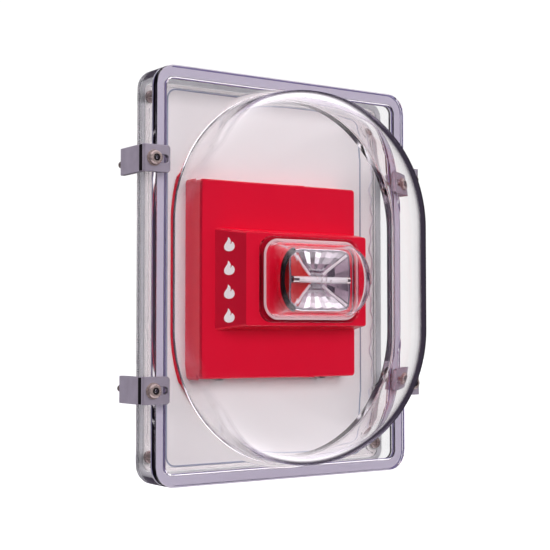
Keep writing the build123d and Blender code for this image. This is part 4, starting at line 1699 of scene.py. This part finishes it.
# ---------------------------------------------------------------- electronics
@dataclass
class Electronics:
    """The board and what is on it, the sounder, the terminals and the two settings.

    Attributes:
        core: radius inside the winding.
        strand: radius of the winding's wire.
        strands: turns along the winding.
        track_count: tracks on the back of the board.
        track_pitch: from one track to the next.
        track_width: width of a track.
        track_height: how far a track stands out.
        seed: seed of the small parts' scatter.
    """

    core: float = 4.75
    strand: float = 0.2
    strands: int = 14
    track_count: int = 13
    track_pitch: float = 5.0
    track_width: float = 1.1
    track_height: float = 0.06
    seed: int = 7

    def build(self) -> list[Piece]:
        """Every node with rounded edges, the winding, and the board's small parts.

        Returns:
            Its pieces.
        """
        pieces = []
        for node, finish, width in (
            ("circuit_board", Finishes.BOARD, 0.15),
            ("board_screws", Finishes.ZINC, 0.12),
            ("flash_capacitor", Finishes.SLEEVE, 0.12),
            ("trigger_transformer", Finishes.BOBBIN, 0.3),
            ("charging_inductor", Finishes.FERRITE, 0.3),
            ("control_chips", Finishes.CHIP, 0.12),
            ("sounder_chamber", Finishes.BLACK, 0.25),
            ("sounder_disc", Finishes.BRASS, 0.05),
            ("terminal_block", Finishes.TERMINAL, 0.2),
            ("terminal_screws", Finishes.ZINC, 0.12),
            ("candela_selector", Finishes.BLACK, 0.15),
            ("volume_selector", Finishes.BLACK, 0.15),
        ):
            pieces.append(finished(node, WALL, finish, width))
        for setting in SETTINGS:
            pieces.append(finished(f"{setting}_knob", f"{setting}_knob", Finishes.KNOB, 0.12))
        return [*pieces, self.winding(), self.tracks(), self.small_parts()]

    def winding(self) -> Piece:
        """Copper winding: a ring whose outside is a row of half-round turns.

        The radius over the winding's body is its wire's radius times |sin| of the way along it.

        Returns:
            The winding.
        """
        low, high = span("inductor_winding")
        middle = (low + high) / 2
        body = (high[0] - low[0]) / 2 - self.strand
        way = np.linspace(low[1], high[1], 140)
        share = (way - low[1]) / (high[1] - low[1])
        bumps = body + self.strand * np.abs(np.sin(share * np.pi * self.strands))
        outside = np.stack([way, bumps], 1)
        inside = np.array([(high[1], self.core), (low[1], self.core)])
        profile = np.concatenate([outside, inside, outside[:1]])
        start = (middle[0], 0.0, middle[2])
        piece = turned("inductor_winding_wound", profile, start, "depth", Finishes.COPPER, 48)
        return settle(piece, WALL, Finishes.COPPER, "inductor_winding")

    def tracks(self) -> Piece:
        """Tinned tracks on the back of the board: thin strips with a 45 degree jog half way.

        Returns:
            The tracks, as one piece.
        """
        low, _ = span("circuit_board")
        points, faces, start = [], [], 0
        for row in range(self.track_count):
            z = (row - (self.track_count - 1) / 2) * self.track_pitch - 6.0
            jog = 3.0 if row % 2 else -3.0
            x = np.array([-44.0, -12.0 - jog, -9.0 - jog, 18.0 + jog, 21.0 + jog, 43.0])
            lift = np.array([0, 0, 1.8, 1.8, 0, 0]) * (1 if row % 3 else -1)
            centre = np.stack([x, z + lift], 1)
            across = np.array([-0.5, 0.5, 0.5, -0.5]) * self.track_width
            depth = low[1] - np.array([0, 0, 1, 1]) * self.track_height
            ring = np.stack(np.broadcast_arrays(centre[:, :1], depth[None], centre[:, 1:] + across), -1)
            caps = [np.repeat(ring[[i]].mean(1, keepdims=True), 4, 1) for i in (0, -1)]
            whole = np.concatenate([caps[0], ring, caps[1]])
            faces.append(grid_faces(len(whole), 4, False, True) + start)
            points.append(whole.reshape(-1, 3))
            start += whole.shape[0] * 4
        at = np.concatenate(points)
        piece = make_piece(
            "board_tracks", place(at[:, 0], at[:, 1], at[:, 2]), np.concatenate(faces), Finishes.ZINC.value
        )
        return settle(piece, WALL, Finishes.ZINC)

    def small_parts(self) -> Piece:
        """Chip resistors and capacitors on the back of the board: a seeded scatter on a grid.

        Returns:
            The small parts, as one piece.
        """
        low, _ = span("circuit_board")
        draw = np.random.default_rng(self.seed)
        columns, rows = np.meshgrid(np.arange(-4, 5) * 9.0, np.array([-36.0, -29.0, 31.0, 37.0]))
        places = np.stack([columns.ravel(), rows.ravel()], 1) + draw.uniform(-1.2, 1.2, (36, 2))
        box = np.array([[-1, 0, -1], [1, 0, -1], [1, 0, 1], [-1, 0, 1]], float)
        sizes = draw.choice([(0.8, 0.45), (1.0, 0.65), (1.6, 0.8)], 36)
        points, faces = [], []
        for i, ((x, z), (half_length, half_width)) in enumerate(zip(places, sizes)):
            scale = np.array([half_length, 1.0, half_width])
            layers = [(0.0, 0.0), (0.0, 1.0), (0.55, 1.0), (0.7, 0.86), (0.7, 0.0)]
            rings = [
                box * scale * [share, 1, share] + [x, low[1] - height, z] for height, share in layers
            ]
            points.append(np.concatenate(rings))
            faces.append(grid_faces(len(layers), 4, False, True) + i * 4 * len(layers))
        at = np.concatenate(points)
        piece = make_piece(
            "board_small_parts",
            place(at[:, 0], at[:, 1], at[:, 2]),
            np.concatenate(faces),
            Finishes.CHIP.value,
        )
        return settle(piece, WALL, Finishes.CHIP)


# ---------------------------------------------------------------- studio
@dataclass
class Studio:
    """Camera, floor, world and lamps.

    Attributes:
        eye: camera place in metres.
        heading: direction of view on the ground, as (x, y).
        pitch: degrees up.
        lens: focal length on a 36 mm sensor.
        floor_drop: how far under the wall's middle the floor lies, in metres.
        floor_half: half of the floor's side, in metres.
        floor_glow: strength of its own light.
        background: strength of the white that the camera sees.
        bounces: how many surfaces light goes through.
        front_dusk: colour of the light from the front.
        side_dusk: colour of the light from the sides.
        dusk_stops: where the front's, the sides' and the white stretch are, from -Y (0) to +Y (1).
        soft_boxes: height of a direction where the mirrored soft boxes start, and where they are full.
        box_light: their colour.
        room: colour of the mirrored room between them.
        shelves: colour of the pale things in it.
        shelf_scale: scale of their noise.
        shelf_share: noise value over which a direction meets one.
        shelf_depth: surfaces of plastic that a ray has crossed when it meets them.
        dark_band: colour of the dark bands that are seen through clear plastic.
        band: |Y| where a band starts, is full, is full no more, and ends.
        band_height: |Z| where the bands start to fade, and where they end.
    """

    eye: tuple[float, float, float] = (-0.4346, -0.6377, -0.031)
    heading: tuple[float, float] = (0.5693, 0.8221)
    pitch: float = 2.5
    lens: float = 81.8
    floor_drop: float = 0.42
    floor_half: float = 12.0
    floor_glow: float = 0.85
    background: float = 1.05
    bounces: int = 24
    front_dusk: tuple[float, float, float] = (0.08, 0.075, 0.09)
    side_dusk: tuple[float, float, float] = (0.33, 0.31, 0.345)
    dusk_stops: tuple[float, float, float] = (0.40, 0.74, 0.868)
    soft_boxes: tuple[float, float] = (0.5, 0.72)
    box_light: tuple[float, float, float] = (1.9, 1.8, 1.9)
    room: tuple[float, float, float] = (0.045, 0.035, 0.055)
    shelves: tuple[float, float, float] = (0.46, 0.34, 0.42)
    shelf_scale: float = 5.5
    shelf_share: float = 0.53
    shelf_depth: float = 5.5
    dark_band: tuple[float, float, float] = (0.20, 0.19, 0.215)
    band: tuple[float, float, float, float] = (0.16, 0.30, 0.45, 0.62)
    band_height: tuple[float, float] = (0.45, 0.7)

    def build(self) -> None:
        """Everything round the object."""
        self.camera()
        self.floor()
        self.world()
        self.lamps()
        settings = bpy.context.scene.view_settings
        settings.view_transform = "Standard"
        settings.look = "None"
        cycles = bpy.context.scene.cycles
        cycles.max_bounces = self.bounces
        cycles.transmission_bounces = self.bounces
        cycles.transparent_max_bounces = self.bounces
        cycles.glossy_bounces = 8
        cycles.caustics_refractive = True

    def camera(self) -> None:
        """Camera looking along the heading, pitched up."""
        data = bpy.data.cameras.new("camera")
        data.lens, data.sensor_width = self.lens, 36.0
        data.clip_start, data.clip_end = 0.01, 50.0
        camera = bpy.data.objects.new("camera", data)
        bpy.context.scene.collection.objects.link(camera)
        turn = math.atan2(-self.heading[0], self.heading[1])
        camera.location = self.eye
        camera.rotation_euler = (math.pi / 2 + math.radians(self.pitch), 0.0, turn)
        bpy.context.scene.camera = camera

    def floor(self) -> None:
        """Wide pale floor well under the object."""
        side = self.floor_half
        corners = [(-side, -side), (side, -side), (side, side), (-side, side)]
        mesh = bpy.data.meshes.new("floor")
        mesh.from_pydata([(x, y, -self.floor_drop) for x, y in corners], [], [(0, 1, 2, 3)])
        floor = bpy.data.objects.new("floor", mesh)
        bpy.context.scene.collection.objects.link(floor)
        material = bpy.data.materials.new("floor_paint")
        material.use_nodes = True
        surface = material.node_tree.nodes["Principled BSDF"]
        surface.inputs["Base Color"].default_value = (0.92, 0.92, 0.93, 1.0)
        surface.inputs["Roughness"].default_value = 0.9
        surface.inputs["Emission Color"].default_value = (*WHITE, 1.0)
        surface.inputs["Emission Strength"].default_value = self.floor_glow
        mesh.materials.append(material)
        floor.visible_glossy = floor.visible_diffuse = floor.visible_transmission = False

    def world(self) -> None:
        """White background for the camera; other rays meet what suits their way.

        Light on dull surfaces eases with the direction's lean from dim lilac in front to white
        behind. Rays that a mirror has turned meet a dark room between two soft boxes, and pale
        things in it once they have crossed much plastic.
        """
        world = bpy.data.worlds.new("studio")
        world.use_nodes = True
        tree = world.node_tree
        bright = tree.nodes["Background"]
        bright.inputs["Color"].default_value = (*WHITE, 1.0)
        bright.inputs["Strength"].default_value = self.background
        here = tree.nodes.new("ShaderNodeTexCoord").outputs["Generated"]
        split = tree.nodes.new("ShaderNodeSeparateXYZ")
        tree.links.new(here, split.inputs[0])
        zones = tree.nodes.new("ShaderNodeMapRange")
        zones.inputs["From Min"].default_value = -1.0
        tree.links.new(split.outputs["Y"], zones.inputs["Value"])
        dusk = zip(self.dusk_stops, (self.front_dusk, self.side_dusk, WHITE))
        lighting = colour_ramp(tree, zones.outputs["Result"], list(dusk))
        height = arithmetic(tree, "ABSOLUTE", split.outputs["Z"])
        path = tree.nodes.new("ShaderNodeLightPath")
        pattern = noise(tree, here, self.shelf_scale, 2.0)
        clutter = arithmetic(tree, "GREATER_THAN", pattern, self.shelf_share)
        inside = arithmetic(tree, "GREATER_THAN", path.outputs["Transmission Depth"], self.shelf_depth)
        met = arithmetic(tree, "MULTIPLY", clutter, inside)
        room = mix_colours(tree, met, self.room, self.shelves)
        boxes = smooth_step(tree, height, *self.soft_boxes)
        mirrored = arithmetic(tree, "MINIMUM", path.outputs["Glossy Depth"], 1.0)
        through = self.seen_through(tree, split.outputs["Y"], height, path, lighting)
        seen = mix_colours(tree, mirrored, through, mix_colours(tree, boxes, room, self.box_light))
        around = tree.nodes.new("ShaderNodeBackground")
        tree.links.new(seen, around.inputs["Color"])
        choose = tree.nodes.new("ShaderNodeMixShader")
        tree.links.new(path.outputs["Is Camera Ray"], choose.inputs[0])
        tree.links.new(around.outputs[0], choose.inputs[1])
        tree.links.new(bright.outputs[0], choose.inputs[2])
        tree.links.new(choose.outputs[0], tree.nodes["World Output"].inputs["Surface"])
        bpy.context.scene.world = world

    def seen_through(
        self,
        tree: bpy.types.NodeTree,
        across: Socket,
        height: Socket,
        path: bpy.types.Node,
        lighting: Socket,
    ) -> Socket:
        """What a ray meets that no mirror has turned: the lighting if it left a dull surface, else white.

        Between the white directions, two dark stretches on either side of the object draw the edges
        of clear plastic, which bend rays that way. They fade out towards the top and the bottom.

        Args:
            tree: the world's nodes.
            across: how far the direction leans to the back or the front.
            height: how far it leans up or down.
            path: the light path.
            lighting: the colour by direction that lights dull surfaces.

        Returns:
            The colour.
        """
        colours = (WHITE, self.dark_band, self.dark_band, WHITE)
        bands = colour_ramp(tree, arithmetic(tree, "ABSOLUTE", across), list(zip(self.band, colours)))
        faded = mix_colours(tree, smooth_step(tree, height, *self.band_height), bands, WHITE)
        dull = arithmetic(tree, "MINIMUM", path.outputs["Diffuse Depth"], 1.0)
        return mix_colours(tree, dull, faded, lighting)

    def lamps(self) -> None:
        """Four soft area lamps: in front, on the right, above and on the left."""
        for name, place_at, size, power, tint in (
            ("front_lamp", (0.1, -1.7, 0.45), 1.6, 39.0, (1.0, 0.97, 0.98)),
            ("right_lamp", (1.5, -1.2, 0.3), 0.9, 12.0, (1.0, 0.96, 0.98)),
            ("top_lamp", (0.1, -0.6, 1.6), 1.2, 7.0, (0.96, 0.97, 1.0)),
            ("left_lamp", (-1.8, -0.7, 0.2), 1.2, 16.0, (0.97, 0.97, 1.0)),
        ):
            data = bpy.data.lights.new(name, "AREA")
            data.shape, data.size, data.energy = "DISK", size, power
            data.color = tint
            lamp = bpy.data.objects.new(name, data)
            lamp.visible_glossy = lamp.visible_transmission = False
            lamp.location = place_at
            bpy.context.scene.collection.objects.link(lamp)
            aim = -lamp.location
            lamp.rotation_euler = aim.to_track_quat("-Z", "Y").to_euler()


def main() -> None:
    """Build every sub-assembly in order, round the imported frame."""
    logging.basicConfig(level=logging.INFO, format="%(name)s: %(message)s")
    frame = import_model()
    NODES.update(frame["nodes"])
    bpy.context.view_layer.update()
    Studio().build()
    ProtectiveCover().build()
    for part in (CoverFrame(), AlarmUnit(), StrobeLens(), Reflector(), FlashTube(), Electronics()):
        part.build()


if __name__ == "__main__":
    main()
